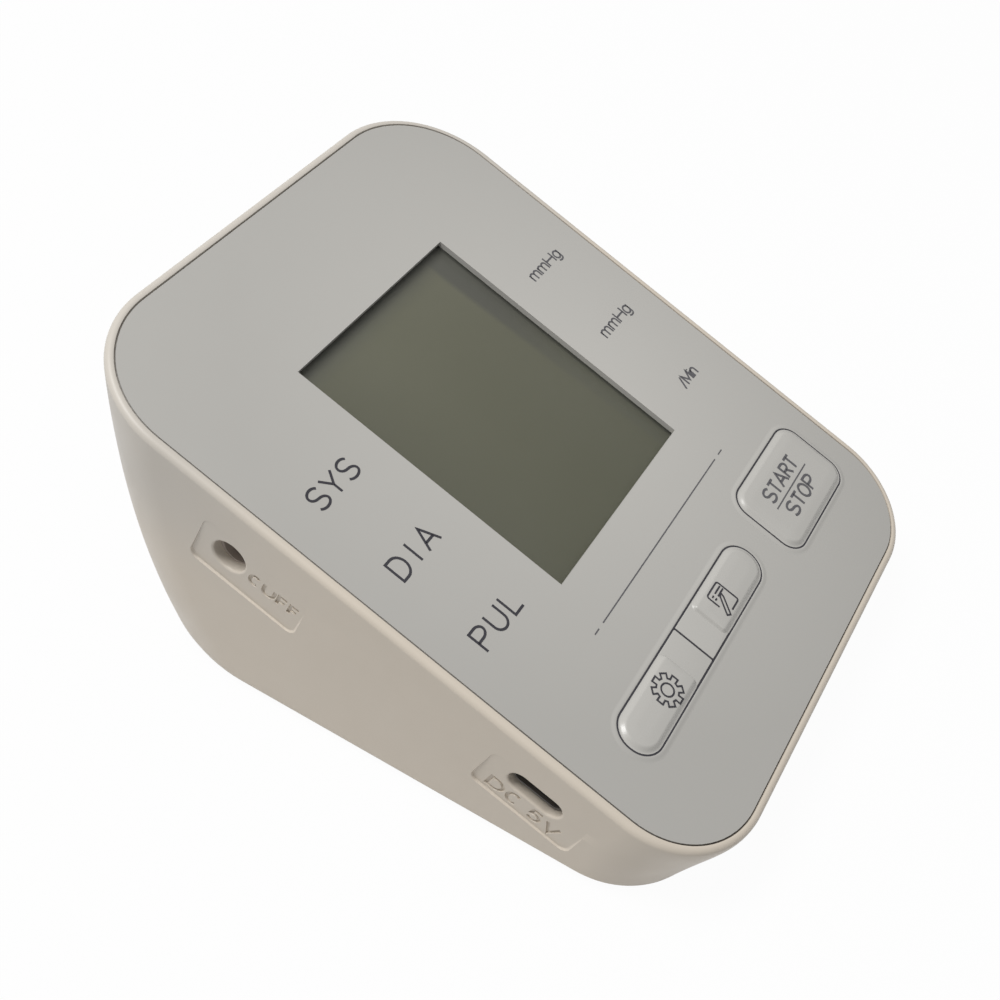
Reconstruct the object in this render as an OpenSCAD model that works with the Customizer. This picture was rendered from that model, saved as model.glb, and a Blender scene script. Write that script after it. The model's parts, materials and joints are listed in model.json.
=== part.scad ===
// Desktop blood pressure monitor: a wedge-shaped console with a sloping face panel, a display
// window, three keys, an air port for the arm cuff and a power inlet in the left wall.
// Frame: +X to the user's right, -Y towards the user, +Z up, origin at the centre of the
// footprint on the resting plane. "Face frame" below means the frame of the sloping face: x to
// the right, v up the slope and n out of the face, with n = 0 on the panel's outer surface.

/* [Body] */
// Width of the housing
body_w = 95.5; // [94:0.5:104]
// Length of the sloping face, measured along the slope
face_len = 122; // [120:0.5:134]
// Slope of the face in degrees
face_tilt = 18.8; // [17.5:0.1:20.5]
// Height of the middle of the face over the resting plane
face_h = 33.4; // [32:0.2:38]
// Wall thickness of the housing
wall = 2.2; // [1.6:0.1:2.4]
// Thickness of the deck that carries the face panel
deck_t = 1.4; // [1.2:0.1:1.5]
// Front edge of the base, in front of the origin
base_front = 51.6; // [50:0.1:54]
// Rear edge of the base, behind the origin
base_rear = 53.4; // [52:0.1:55]
// Corner radius of the base at the front
base_front_r = 14.5; // [12:0.5:17]
// Corner radius of the base at the rear
base_rear_r = 29; // [24:0.5:29.5]
// Rounding of the lower edge of the wall
base_edge_r = 1; // [0.5:0.1:1.2]
// Swell of the front and rear walls between the base and the rim
wall_swell = 1.2; // [1.1:0.01:1.8]
// Swell of the corners between the base and the rim
corner_swell = 2.7; // [1.5:0.1:3]
// Thickness of the base plate
base_t = 2.4; // [2.2:0.1:3]

/* [Rim] */
// Radius of the rim's rear corners
rim_rear_r = 19.4; // [18:0.2:21]
// Radius of the rim's front corners
rim_front_r = 16.8; // [16:0.2:20]
// Width of the rim along the side walls, from the wall to the panel
rim_w = 1.7; // [1.6:0.1:3]
// Width of the rim along the front and rear walls
rim_end_w = 1.6; // [1.5:0.1:3]
// Rise of the rim above the panel's surface
rim_rise = 0.1; // [0:0.05:0.4]
// Roll-over radius of the rim's outer edge
rim_round = 1; // [0.8:0.1:2]

/* [Face panel] */
// Thickness of the face panel
panel_t = 1; // [0.8:0.05:1.2]
// Gap between the panel and the rim
panel_gap = 0.25; // [0.1:0.05:0.4]
// Width of the display window
window_w = 42.4; // [40:0.2:44]
// Height of the display window
window_l = 52.1; // [50:0.2:54]
// Place of the window up the slope from the middle of the face
window_v = 9.3; // [8.5:0.1:10]
// Place of the window to the right of the middle of the face
window_x = 0.3; // [0:0.1:1]
// Thickness of the clear lens under the panel
lens_t = 0.8; // [0.6:0.05:0.9]

/* [Keys] */
// Place of the row of keys down the slope from the middle of the face
key_row = 38.9; // [38.5:0.1:40]
// Width of the start and stop key
start_w = 23.8; // [22:0.2:24.2]
// Height of the start and stop key
start_l = 14.4; // [13:0.2:15.4]
// Corner radius of the start and stop key
start_r = 3.3; // [2:0.1:4]
// Place of the start and stop key to the right of the middle
start_x = 28.4; // [28:0.1:29.5]
// Length of the pill that the two small keys share
pill_w = 46; // [44:0.2:46.2]
// Height of the pill
pill_l = 7.7; // [7.5:0.1:8.6]
// Corner radius at the ends of the pill
pill_r = 3.7; // [2.5:0.1:3.7]
// Place of the middle of the pill to the left of the middle
pill_x = 13.6; // [13.5:0.1:14]
// Length of the raised pad at each end of the pill
pad_len = 17.6; // [13:0.2:18.4]
// Height of the raised part of each key over the panel
key_rise = 0.65; // [0.5:0.05:1.2]
// Extra height of each key's crown
key_crown = 0.2; // [0.1:0.05:0.3]
// Gap round each key
key_gap = 0.3; // [0.25:0.05:0.4]
// Travel of each key
key_travel = 0.5; // [0.3:0.05:0.5]
// Width of the retaining flange round each key, under the deck
key_flange = 1; // [0.8:0.1:1.4]
// Thickness of that flange
key_flange_t = 0.8; // [0.6:0.05:0.8]

/* [Display] */
// Width of the display glass
glass_w = 48; // [47:0.2:48.4]
// Height of the display glass
glass_l = 60; // [59:0.2:60.4]
// Thickness of the display glass
glass_t = 2; // [1.8:0.05:2.1]
// Thickness of the reflector behind the glass
reflector_t = 0.3; // [0.2:0.05:0.4]
// Wall of the holder round the glass
holder_wall = 1.6; // [1.4:0.1:2]
// Width of the elastomer connector strips
zebra_w = 2; // [1.6:0.1:2.4]

/* [Circuit board] */
// Depth of the board's upper side below the face
board_depth = 6; // [5.8:0.1:6.2]
// Thickness of the board
board_t = 1.6; // [1.2:0.1:1.6]
// Edge length of a key's switch
switch_w = 6; // [5:0.1:6.4]
// Height of a key's switch
switch_h = 1.6; // [1.3:0.05:1.6]
// Radius of a switch's plunger
plunger_r = 1.6; // [1.2:0.05:1.8]
// Running clearance of a plunger in its switch, on the radius
plunger_fit = 0.05; // [0.02:0.01:0.1]
// Edge length of the control chip
chip_w = 12; // [10:0.5:14]
// Thickness of the control chip
chip_t = 1.4; // [1:0.1:1.6]
// Radius of the buzzer
buzzer_r = 5.5; // [4.5:0.1:6]
// Height of the buzzer
buzzer_h = 4.2; // [3:0.1:4.5]

/* [Ports] */
// Place of the cuff port up the slope
cuff_v = 24.3; // [24:0.1:25.5]
// Depth of the cuff port below the face
cuff_n = 10.9; // [10.4:0.1:11.3]
// Radius of the hole in the wall for the cuff's plug
cuff_hole_r = 2.8; // [2.8:0.05:3.4]
// Bore radius of the cuff socket
cuff_bore_r = 2.6; // [2.4:0.05:2.7]
// Depth of the cuff socket's bore
cuff_bore_l = 9.8; // [8:0.1:10.5]
// Outer radius of the cuff socket
socket_r = 5.2; // [5:0.1:5.6]
// Place of the power inlet down the slope
usb_v = 32.4; // [32:0.1:33.2]
// Depth of the middle of the power inlet below the face
usb_n = 8.6; // [8.4:0.1:8.9]
// Width of the power inlet's shell
usb_w = 8.94; // [8.5:0.02:9.2]
// Height of the power inlet's shell
usb_h = 3.2; // [3:0.02:3.3]
// Length of the power inlet's shell
usb_l = 7.3; // [6.6:0.1:8]
// Clearance round the inlet's shell in the wall
usb_gap = 0.35; // [0.25:0.05:0.45]
// Depth of the pads round the ports at their lower edge
pad_depth = 0.5; // [0.3:0.05:0.7]

/* [Batteries] */
// Length of a battery cell
cell_l = 44.5; // [43:0.1:45.5]
// Radius of a battery cell
cell_r = 5.25; // [5:0.05:5.3]
// Distance from cell to cell
cell_pitch = 10.8; // [10.7:0.05:11]
// Room for the contacts at each end of a cell
contact_room = 2.6; // [2.2:0.1:3]
// Gap between the battery bay and the exhaust valve
bay_gap = 1; // [0.6:0.1:2]
// Middle of the battery bay in front of the origin
bay_y = 2.6; // [2:0.1:3]
// Wall thickness of the battery bay
bay_wall = 1.4; // [1:0.1:1.5]
// Thickness of the battery door
door_t = 2.2; // [2:0.05:2.3]
// Gap round the battery door
door_gap = 0.35; // [0.3:0.05:0.5]
// Radius of the door's hinge pins
hinge_r = 0.6; // [0.5:0.05:0.7]
// Running clearance of the hinge pins, on the radius
hinge_fit = 0.06; // [0.03:0.01:0.1]
// Length of each hinge pin
hinge_l = 1.4; // [1:0.1:1.8]
// Width of the door's latch tongue
latch_w = 12; // [8:0.5:16]
// Width of the battery contacts
contact_w = 8; // [7:0.1:9]
// Thickness of the battery contacts
contact_t = 0.4; // [0.3:0.05:0.5]

/* [Air system] */
// Radius of the pump's motor
motor_r = 10.5; // [9.5:0.1:10.8]
// Length of the pump's motor
motor_l = 26; // [22:0.5:30]
// Radius of the pump's head
head_r = 12; // [11:0.1:12.2]
// Length of the pump's head
head_l = 14; // [12:0.5:15]
// Left end of the pump's head
pump_x = -14; // [-15:0.5:-12]
// Middle of the pump behind the origin
pump_y = 34.5; // [34.3:0.1:35]
// Thickness of the cushion under the motor
cushion_t = 1.5; // [1:0.1:1.5]
// Outer radius of the exhaust valve
valve_r = 5.5; // [5:0.1:5.6]
// Length of the exhaust valve
valve_l = 16; // [14:0.5:18]
// Radius of the air manifold
manifold_r = 3.2; // [3:0.1:3.4]
// Height of the air manifold over the resting plane
manifold_z = 13; // [12:0.1:14]
// Radius of the air nipples
nipple_r = 1.5; // [1.3:0.05:1.6]
// Outer radius of the air tubes
tube_r = 2.5; // [2.3:0.05:2.6]
// Clearance of a tube over its nipple, on the radius
tube_fit = 0.05; // [0.02:0.01:0.1]

/* [Fasteners and feet] */
// Height of the feet below the base
foot_h = 1; // [0.6:0.1:1.5]
// Radius of the feet
foot_r = 4.5; // [4:0.1:5]
// Depth of the feet in the base plate
foot_sink = 0.6; // [0.4:0.1:0.8]
// Radius of the housing screws' shafts
screw_r = 1.2; // [1:0.05:1.3]
// Radius of the housing screws' heads
screw_head_r = 2.4; // [2.1:0.1:2.5]
// Outer radius of the screw bosses
boss_r = 3; // [2.8:0.1:3.2]
// Radius of the board screws' shafts
board_screw_r = 0.9; // [0.8:0.05:1]
// Clearance round screws, on the radius
screw_fit = 0.05; // [0.03:0.01:0.1]

/* [Hidden] */

$fn = 48;
far = 200;                          // longer than anything that is cut
eps = 0.01;                         // run-out of a cut past a face
segs = 14;                          // segments in a quarter turn of a lofted corner
key_segs = 6;                       // segments in a quarter turn of a key's corner
base_z = foot_h;                    // underside of the base
base_top = base_z + base_t;         // inner side of the base plate
slope_c = cos(face_tilt);
slope_s = sin(face_tilt);
rim_crest = rim_rise - rim_round;   // n of the rim's widest line
face_y0 = rim_crest * slope_s;      // keeps that line centred over the origin
panel_inset = max(rim_w, rim_end_w) + 0.2;      // by this the panel's corner radii are less than the rim's
dome_step = 0.15;                   // ledge between a key's edge and its raised part
deck_top = -panel_t;                // n of the deck's upper side
deck_low = deck_top - deck_t;       // n of the deck's lower side
board_top = -board_depth;           // n of the board's upper side
board_low = board_top - board_t;    // n of the board's lower side

// Face frame to model frame
function face_y(v, n) = face_y0 + v * slope_c - n * slope_s;
function face_z(v, n) = face_h + v * slope_s + n * slope_c;
// Height of the plane at depth n under the model's y
function plane_z(y, n) = face_h + ((y - face_y0) * slope_s + n) / slope_c;

module on_face() {
    translate([0, face_y0, face_h]) rotate([face_tilt, 0, 0]) children();
}

// ---- Lofts -------------------------------------------------------------------------------

function mix(a, b, t) = a + (b - a) * t;
function swell(t, power) = 1 - pow(1 - t, power);

function arc(cx, cy, r, start, count) =
    [for (i = [0 : count]) let (a = start + 90 * i / count) [cx + r * cos(a), cy + r * sin(a)]];

// Rectangle with corner radii [north-east, north-west, south-west, south-east], drawn inwards
function round_box(x0, x1, y0, y1, r, inset, count) = concat(
    arc(x1 - r[0], y1 - r[0], max(r[0] - inset, 0.05), 0, count),
    arc(x0 + r[1], y1 - r[1], max(r[1] - inset, 0.05), 90, count),
    arc(x0 + r[2], y0 + r[2], max(r[2] - inset, 0.05), 180, count),
    arc(x1 - r[3], y0 + r[3], max(r[3] - inset, 0.05), 270, count)
);

// Outline of the body at share t of the way from the base (0) to the rim (1)
function body_outline(t, inset) = let (
    w = swell(t, wall_swell),
    turn = swell(t, corner_swell),
    rear_r = mix(base_rear_r, rim_rear_r, turn),
    front_r = mix(base_front_r, rim_front_r, turn)
) round_box(-body_w / 2, body_w / 2, mix(-base_front, -face_len / 2, w),
    mix(base_rear, face_len / 2, w), [rear_r, rear_r, front_r, front_r], inset, segs);

// The same outline in space, where the loft ends at depth n below the face
function body_ring(t, inset, n) = [
    for (p = body_outline(t, inset))
        [p[0], p[1] * mix(1, slope_c, t) + t * (face_y0 - n * slope_s),
            mix(base_z, face_h + p[1] * slope_s + n * slope_c, t)]
];
function base_ring(inset, z) = [for (p = body_outline(0, inset)) [p[0], p[1], z]];
function rim_ring(inset, n) = [for (p = body_outline(1, inset)) [p[0], face_y(p[1], n), face_z(p[1], n)]];

// Closed skin over a list of rings with equal counts, from the lowest to the highest
module loft(rings) {
    m = len(rings[0]);
    points = [for (r = rings, p = r) p];
    sides = [
        for (k = [0 : len(rings) - 2], i = [0 : m - 1])
            let (a = k * m + i, b = k * m + (i + 1) % m)
                each [[a, a + m, b + m], [a, b + m, b]]
    ];
    low = [[for (i = [0 : m - 1]) i]];
    high = [[for (i = [m - 1 : -1 : 0]) (len(rings) - 1) * m + i]];
    polyhedron(points, concat(low, sides, high));
}

// ---- Flat shapes -------------------------------------------------------------------------

module rounded(w, l, r) {
    square([w - 2 * r, l], center = true);
    square([w, l - 2 * r], center = true);
    for (sx = [-1, 1], sy = [-1, 1])
        translate([sx * (w / 2 - r), sy * (l / 2 - r)]) circle(r = r);
}

// Plate between two heights
module slab(low, high) {
    translate([0, 0, low]) linear_extrude(height = high - low) children();
}

// Run of a profile along +X, drawn with its x along Y and its y along Z
module along_x(length) {
    rotate([90, 0, 90]) linear_extrude(height = length) children();
}

module rod_x(r, length) {
    rotate([0, 90, 0]) cylinder(r = r, h = length);
}

module rod_y(r, length) {
    rotate([-90, 0, 0]) cylinder(r = r, h = length);
}

module tube_z(outer, inner, length) {
    difference() {
        cylinder(r = outer, h = length);
        translate([0, 0, -eps]) cylinder(r = inner, h = length + 2 * eps);
    }
}

// ---- Places ------------------------------------------------------------------------------

// Housing screws, as [x, y]
front_screw = [body_w / 2 - 10.5, -base_front + wall + 7];
rear_screw = [body_w / 2 - 12, base_rear - 14.2];
screw_places = [for (s = [-1, 1], p = [front_screw, rear_screw]) [s * p[0], p[1]]];
screw_sink = base_t / 2;
front_boss_top = plane_z(front_screw[1] - boss_r, board_low) - 0.3;
screw_reach = 5.5;                  // reach of a screw above the base plate

// Board screws, as [x, v] in the face frame
holder_w = glass_w + 2 * holder_wall + 0.4;
holder_l = glass_l + 2 * holder_wall + 0.4;
standoff_r = 2.1;
board_screw_places = [
    [-holder_w / 2 - standoff_r - 5, -18],
    [holder_w / 2 + standoff_r + 5, -18],
    [holder_w / 2 + standoff_r + 0.6, 33],
    [(start_x - start_w / 2 - pill_x + pill_w / 2) / 2, -key_row]
];

// Ports in the left wall
wall_x = -body_w / 2;
cuff_y = face_y(cuff_v, -cuff_n);
cuff_z = face_z(cuff_v, -cuff_n);
socket_x = wall_x + wall;           // inner face of the wall
socket_l = cuff_bore_l + 1.8;
socket_end = socket_x + socket_l;
usb_x = wall_x + 1.3;               // mouth of the inlet, set back in the wall
port_pad_top = 6.2;                 // depth of a pad's upper edge below the face
port_pad_r = 1.5;                   // radius of a pad's lower corners
// Each pad as [its two ends along v, depth of its lower edge below the face]
cuff_pad = [cuff_v - 13.9, cuff_v + 5.9, cuff_n + 5.8];
usb_pad = [-usb_v - 9.4, -usb_v + 8.8, usb_n + 7.3];

// Air system
pump_z = base_top + cushion_t + head_r;
manifold_y0 = valve_l / 2 + 5.4;
manifold_y1 = pump_y + 4;
nipple_l = 3.6;
nipple_reach = manifold_r + nipple_l;
tube_bend = 3.5;
// Room between the cuff socket and the pump, shared by the straight runs of their two tubes
air_room = pump_x - nipple_l - nipple_reach - tube_bend - socket_end;
elbow_x = socket_end + air_room / 2;    // where the cuff tube starts to turn down
manifold_x = -(elbow_x + tube_bend);    // place of the manifold to the left of the origin
valve_y0 = -valve_l / 2;
sensor_h = 3.4;
sensor_w = 8;
sensor_y = cuff_y - 6.5;            // where the sensor's nipple leaves the manifold
// Distance along n from the manifold's axis to the underside of the sensor
sensor_run = (plane_z(sensor_y, board_low - sensor_h) - manifold_z) * slope_c;
// Distance along n from the manifold's axis to the foot of the sensor's tube
sensor_foot = (manifold_r + tube_r * slope_s) / slope_c + 0.1;

// Battery bay
bay_l = cell_l + 2 * contact_room;
bay_w = 4 * cell_pitch;
bay_x = -manifold_x + valve_r + bay_gap + bay_wall + bay_l / 2;
cell_z = base_top + 0.1 + cell_r;
bay_roof = cell_z + cell_r + 0.3;
door_l = bay_l - 2 * door_gap;
door_y0 = -bay_y - bay_w / 2 + door_gap;
hinge_y = -bay_y + bay_w / 2 - door_gap - door_t / 2;
hinge_z = base_z + door_t / 2;
catch_r = 0.5;
function cell_y(i) = -bay_y + (i - 1.5) * cell_pitch;

// Window and glass, as n of their faces
lens_low = -panel_t - lens_t;
glass_top = lens_low - 0.1;
glass_low = glass_top - glass_t;
reflector_low = glass_low - reflector_t;

// Keys
key_floor = deck_low - 0.3 - key_flange_t;      // n of a key's underside
small_key_w = pill_w / 2 - key_gap / 2;
settings_x = -pill_x - pill_w / 4 - key_gap / 4;
memory_x = -pill_x + pill_w / 4 + key_gap / 4;
settings_switch_x = -pill_x - pill_w / 2 + pad_len / 2;
memory_switch_x = -pill_x + pill_w / 2 - pad_len / 2;

// ---- Housing -----------------------------------------------------------------------------

module body_outside() {
    loft(concat(
        [for (a = [0 : 30 : 60]) base_ring(base_edge_r * (1 - sin(a)), base_z + base_edge_r * (1 - cos(a)))],
        [for (t = [0.1 : 0.1 : 0.9]) body_ring(t, 0, rim_crest)],
        [for (a = [0 : 18 : 90]) rim_ring(rim_round * (1 - cos(a)), rim_crest + rim_round * sin(a))]
    ));
}

module body_inside() {
    loft(concat(
        [base_ring(wall, base_z - 1), base_ring(wall, base_z + eps)],
        [for (t = [0.1 : 0.15 : 1]) body_ring(t, wall, deck_low)]
    ));
}

// Outline of the panel, grown by a clearance
module panel_outline(grow) {
    w = body_w / 2 - rim_w + grow;
    l = face_len / 2 - rim_end_w + grow;
    rear = rim_rear_r - panel_inset + grow;
    front = rim_front_r - panel_inset + grow;
    translate([-w, front - l]) square([2 * w, 2 * l - front - rear]);
    translate([rear - w, 0]) square([2 * (w - rear), l]);
    translate([front - w, -l]) square([2 * (w - front), l]);
    for (s = [-1, 1]) {
        translate([s * (w - rear), l - rear]) circle(r = rear);
        translate([s * (w - front), front - l]) circle(r = front);
    }
}

module start_outline(grow) {
    translate([start_x, -key_row]) rounded(start_w + 2 * grow, start_l + 2 * grow, start_r + grow);
}

module pill_outline(grow) {
    translate([-pill_x, -key_row]) rounded(pill_w + 2 * grow, pill_l + 2 * grow, pill_r + grow);
}

module window_outline(grow) {
    translate([window_x, window_v]) square([window_w + 2 * grow, window_l + 2 * grow], center = true);
}

// Post from the base plate's level up into the deck, cut parallel to the face
module deck_post(x, y, r, low) {
    difference() {
        translate([x, y, low]) cylinder(r = r, h = plane_z(y, 0) - low);
        on_face() translate([-far / 2, -far / 2, deck_top - deck_t / 2]) cube([far, far, far]);
    }
}

// Short boss under the keys, held by ribs from the side and front walls
module front_boss(side) {
    reach = body_w / 2 - wall / 2 - front_screw[0];
    translate([side * front_screw[0], front_screw[1], base_top]) {
        cylinder(r = boss_r, h = front_boss_top - base_top);
        translate([side > 0 ? 0 : -reach, -0.6, 0]) cube([reach, 1.2, front_boss_top - base_top]);
        translate([-0.6, -base_front - 0.6 - front_screw[1], 0])
            cube([1.2, front_screw[1] + base_front + 0.6, front_boss_top - base_top]);
    }
}

// Shallow flat round a port, flush at its upper edge and deepest at its lower edge
module port_pad(pad) {
    span = pad[2] - port_pad_top;
    on_face() translate([wall_x, (pad[0] + pad[1]) / 2, -port_pad_top]) rotate([0, -atan(pad_depth / span), 0])
        translate([-1, 0, port_pad_r - span / 2])
            along_x(1) rounded(pad[1] - pad[0], span + 2 * port_pad_r, port_pad_r);
}

module upper_housing() {
    color([0.79, 0.76, 0.71]) difference() {
        union() {
            difference() {
                body_outside();
                body_inside();
            }
            for (s = [-1, 1]) {
                deck_post(s * rear_screw[0], rear_screw[1], boss_r, base_top);
                front_boss(s);
            }
            on_face() for (p = board_screw_places)
                translate([p[0], p[1], board_top]) cylinder(r = standoff_r, h = deck_low - board_top + deck_t / 2);
        }
        // Recess for the face panel
        on_face() slab(deck_top, deck_top + far) panel_outline(panel_gap);
        // Openings in the deck for the display and the keys
        on_face() slab(deck_low - 1, deck_top + 1) {
            translate([window_x, window_v]) square([glass_w + 0.4, glass_l + 0.4], center = true);
            start_outline(key_gap);
            pill_outline(key_gap);
        }
        // Pilot bores for the screws
        for (p = screw_places)
            translate([p[0], p[1], base_top - eps]) cylinder(r = screw_r + screw_fit, h = screw_reach + 0.5);
        on_face() for (p = board_screw_places)
            translate([p[0], p[1], board_top - eps]) cylinder(r = board_screw_r + screw_fit, h = 2.7);
        // Cuff port: a bore with a flared mouth
        translate([wall_x - 1, cuff_y, cuff_z]) rod_x(cuff_hole_r, wall + 2);
        translate([wall_x - eps, cuff_y, cuff_z]) rotate([0, 90, 0])
            cylinder(r1 = cuff_hole_r + 0.45, r2 = cuff_hole_r - eps, h = 0.9);
        // Power inlet: a slot with rounded ends and a shallow lead-in
        on_face() translate([wall_x - 1, -usb_v, -usb_n])
            along_x(wall + 2) rounded(usb_w + 2 * usb_gap, usb_h + 2 * usb_gap, usb_h / 2 + usb_gap - 0.05);
        on_face() translate([wall_x - 1, -usb_v, -usb_n])
            along_x(1.4) rounded(usb_w + 2 * usb_gap + 0.6, usb_h + 2 * usb_gap + 0.3, usb_h / 2 + usb_gap + 0.1);
        port_pad(cuff_pad);
        port_pad(usb_pad);
    }
}

module lower_housing() {
    saddles = [pump_x + head_l + 5, pump_x + head_l + motor_l - 5];
    color([0.76, 0.73, 0.68]) difference() {
        union() {
            slab(base_z, base_top) polygon(body_outline(0, wall + 0.2));
            // Battery bay
            translate([bay_x - bay_l / 2 - bay_wall, -bay_y - bay_w / 2 - bay_wall, base_top - eps])
                cube([bay_l + 2 * bay_wall, bay_w + 2 * bay_wall, bay_roof + bay_wall - base_top]);
            // Saddles under the pump's motor
            for (x = saddles) translate([x - 1, pump_y - head_r, base_top - eps]) cube([2, 2 * head_r, 7]);
            // Saddles under the valve and the manifold
            for (y = [valve_y0 + 3, -valve_y0 - 3]) translate([-manifold_x - 4, y - 0.8, base_top - eps])
                cube([8, 1.6, manifold_z - base_top - 1]);
            for (y = [manifold_y0 + 3, manifold_y1 - 5]) translate([-manifold_x - 2, y - 0.8, base_top - eps])
                cube([4, 1.6, manifold_z - base_top - 1]);
        }
        // Battery bay, open at the bottom
        translate([bay_x - bay_l / 2, -bay_y - bay_w / 2, base_z - 1]) cube([bay_l, bay_w, bay_roof - base_z + 1]);
        // Bores for the door's hinge pins
        translate([bay_x - bay_l / 2 - hinge_l - 0.3, hinge_y, hinge_z]) rod_x(hinge_r + hinge_fit, bay_l + 2 * hinge_l + 0.6);
        // Seats for the motor's cushion, the valve and the manifold
        translate([pump_x + head_l, pump_y, pump_z]) rod_x(motor_r + cushion_t, motor_l);
        translate([-manifold_x, valve_y0 - 1, manifold_z]) rod_y(valve_r, valve_l + 1 + 2);
        translate([-manifold_x, manifold_y0 - 1, manifold_z]) rod_y(manifold_r, manifold_y1 - manifold_y0 + 2);
        // Screw holes and their head recesses
        for (p = screw_places) {
            translate([p[0], p[1], base_z - 1]) cylinder(r = screw_r + 0.15, h = base_t + 2);
            translate([p[0], p[1], base_z - 1]) cylinder(r = screw_head_r + 0.2, h = screw_sink + 1);
        }
        foot_places() translate([0, 0, base_z - 1]) cylinder(r = foot_r, h = foot_sink + 1);
        // Groove for the door's catch, and a finger scoop in front of it
        translate([bay_x - latch_w / 2 + 1.5, door_y0 + catch_r - 0.2, base_z + door_t / 2])
            rod_x(catch_r + door_gap, latch_w - 3);
        translate([bay_x - latch_w / 2 + 1.5, door_y0 - 3.6, base_z - 3.2]) rod_x(4, latch_w - 3);
    }
}

module foot_places() {
    for (s = [-1, 1]) {
        translate([s * front_screw[0], front_screw[1] + screw_head_r + foot_r + 5.2]) children();
        translate([s * (rear_screw[0] - screw_head_r - foot_r - 3), rear_screw[1] + 4]) children();
    }
}

module feet() {
    color([0.35, 0.35, 0.36]) foot_places() cylinder(r = foot_r, h = foot_h + foot_sink);
}

module housing_screws() {
    color([0.7, 0.7, 0.72]) for (p = screw_places) translate([p[0], p[1], base_z + 0.1]) {
        cylinder(r = screw_head_r, h = screw_sink - 0.1);
        cylinder(r = screw_r, h = base_t - 0.1 + screw_reach);
    }
}

module board_screws() {
    color([0.7, 0.7, 0.72]) on_face() for (p = board_screw_places) translate([p[0], p[1], board_low - 1]) {
        cylinder(r = 1.8, h = 1);
        cylinder(r = board_screw_r, h = 1 + board_t + 2.4);
    }
}

// ---- Face --------------------------------------------------------------------------------

module face_panel() {
    color([0.69, 0.7, 0.68]) on_face() difference() {
        slab(-panel_t, 0) panel_outline(0);
        slab(-panel_t - 1, 1) {
            window_outline(0);
            start_outline(key_gap);
            pill_outline(key_gap);
        }
    }
}

module window_lens() {
    color([0.6, 0.62, 0.58, 0.4]) on_face() slab(lens_low, -panel_t) glass_outline(0);
}

// Soft raised pad of a key, with rounded edges and a crown
module key_dome(x0, x1, y0, y1, r) {
    edge = key_rise - dome_step;
    crown = (min(r) - key_rise - 0.1) / 3;
    loft(concat(
        [[for (p = round_box(x0, x1, y0, y1, r, dome_step, key_segs)) [p[0], p[1], -0.3]]],
        [for (a = [0 : 22.5 : 90])
            [for (p = round_box(x0, x1, y0, y1, r, dome_step + edge * (1 - cos(a)), key_segs))
                [p[0], p[1], key_rise * sin(a)]]],
        [for (k = [1 : 3])
            [for (p = round_box(x0, x1, y0, y1, r, key_rise + k * crown, key_segs))
                [p[0], p[1], key_rise + key_crown * sin(k * 30)]]]
    ));
}

module start_stop_key() {
    color([0.7, 0.71, 0.69]) on_face() {
        slab(key_floor, 0) start_outline(0);
        slab(key_floor, key_floor + key_flange_t) start_outline(key_flange);
        translate([start_x, -key_row])
            key_dome(-start_w / 2, start_w / 2, -start_l / 2, start_l / 2, [start_r, start_r, start_r, start_r]);
    }
}

// One half of the pill: side is -1 for the left half and 1 for the right half
module small_key(side) {
    inner_r = 2.4;
    on_face() translate([-pill_x, -key_row]) {
        difference() {
            union() {
                slab(key_floor, 0) rounded(pill_w, pill_l, pill_r);
                slab(key_floor, key_floor + key_flange_t)
                    rounded(pill_w + 2 * key_flange, pill_l + 2 * key_flange, pill_r + key_flange);
            }
            translate([side > 0 ? -far : -key_gap / 2, -far / 2, -far / 2])
                cube([far + (side > 0 ? key_gap / 2 : 0), far, far]);
        }
        if (side > 0)
            key_dome(pill_w / 2 - pad_len, pill_w / 2, -pill_l / 2, pill_l / 2, [pill_r, inner_r, inner_r, pill_r]);
        else
            key_dome(-pill_w / 2, pad_len - pill_w / 2, -pill_l / 2, pill_l / 2, [inner_r, pill_r, pill_r, inner_r]);
    }
}

module memory_key() {
    color([0.7, 0.71, 0.69]) small_key(1);
}

module settings_key() {
    color([0.7, 0.71, 0.69]) small_key(-1);
}

module key_plunger(x) {
    low = board_top + 0.7;
    color([0.2, 0.2, 0.22]) on_face() translate([x, -key_row, low])
        cylinder(r = plunger_r, h = key_floor - low);
}

module key_switch(x) {
    color([0.25, 0.25, 0.27]) on_face() translate([x, -key_row, board_top]) difference() {
        translate([-switch_w / 2, -switch_w / 2, 0]) cube([switch_w, switch_w, switch_h]);
        translate([0, 0, 0.1]) cylinder(r = plunger_r + plunger_fit, h = switch_h);
    }
}

module start_plunger() {
    key_plunger(start_x);
}

module memory_plunger() {
    key_plunger(memory_switch_x);
}

module settings_plunger() {
    key_plunger(settings_switch_x);
}

module start_switch() {
    key_switch(start_x);
}

module memory_switch() {
    key_switch(memory_switch_x);
}

module settings_switch() {
    key_switch(settings_switch_x);
}

// ---- Display -----------------------------------------------------------------------------

module glass_outline(grow) {
    translate([window_x, window_v]) square([glass_w + 2 * grow, glass_l + 2 * grow], center = true);
}

module lcd_glass() {
    color([0.42, 0.43, 0.36]) on_face() slab(glass_low, glass_top) glass_outline(0);
}

module lcd_reflector() {
    ledge = zebra_w + 1;
    color([0.75, 0.76, 0.72]) on_face() slab(reflector_low, glass_low)
        translate([window_x, window_v]) square([glass_w, glass_l - 2 * ledge], center = true);
}

module zebra(side, grow) {
    translate([window_x, window_v + side * (glass_l / 2 - 0.4 - zebra_w / 2)])
        square([glass_w - 4 + 2 * grow, zebra_w + 2 * grow], center = true);
}

module zebra_strip_front() {
    color([0.15, 0.15, 0.16]) on_face() slab(board_top, glass_low) zebra(-1, 0);
}

module zebra_strip_rear() {
    color([0.15, 0.15, 0.16]) on_face() slab(board_top, glass_low) zebra(1, 0);
}

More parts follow.
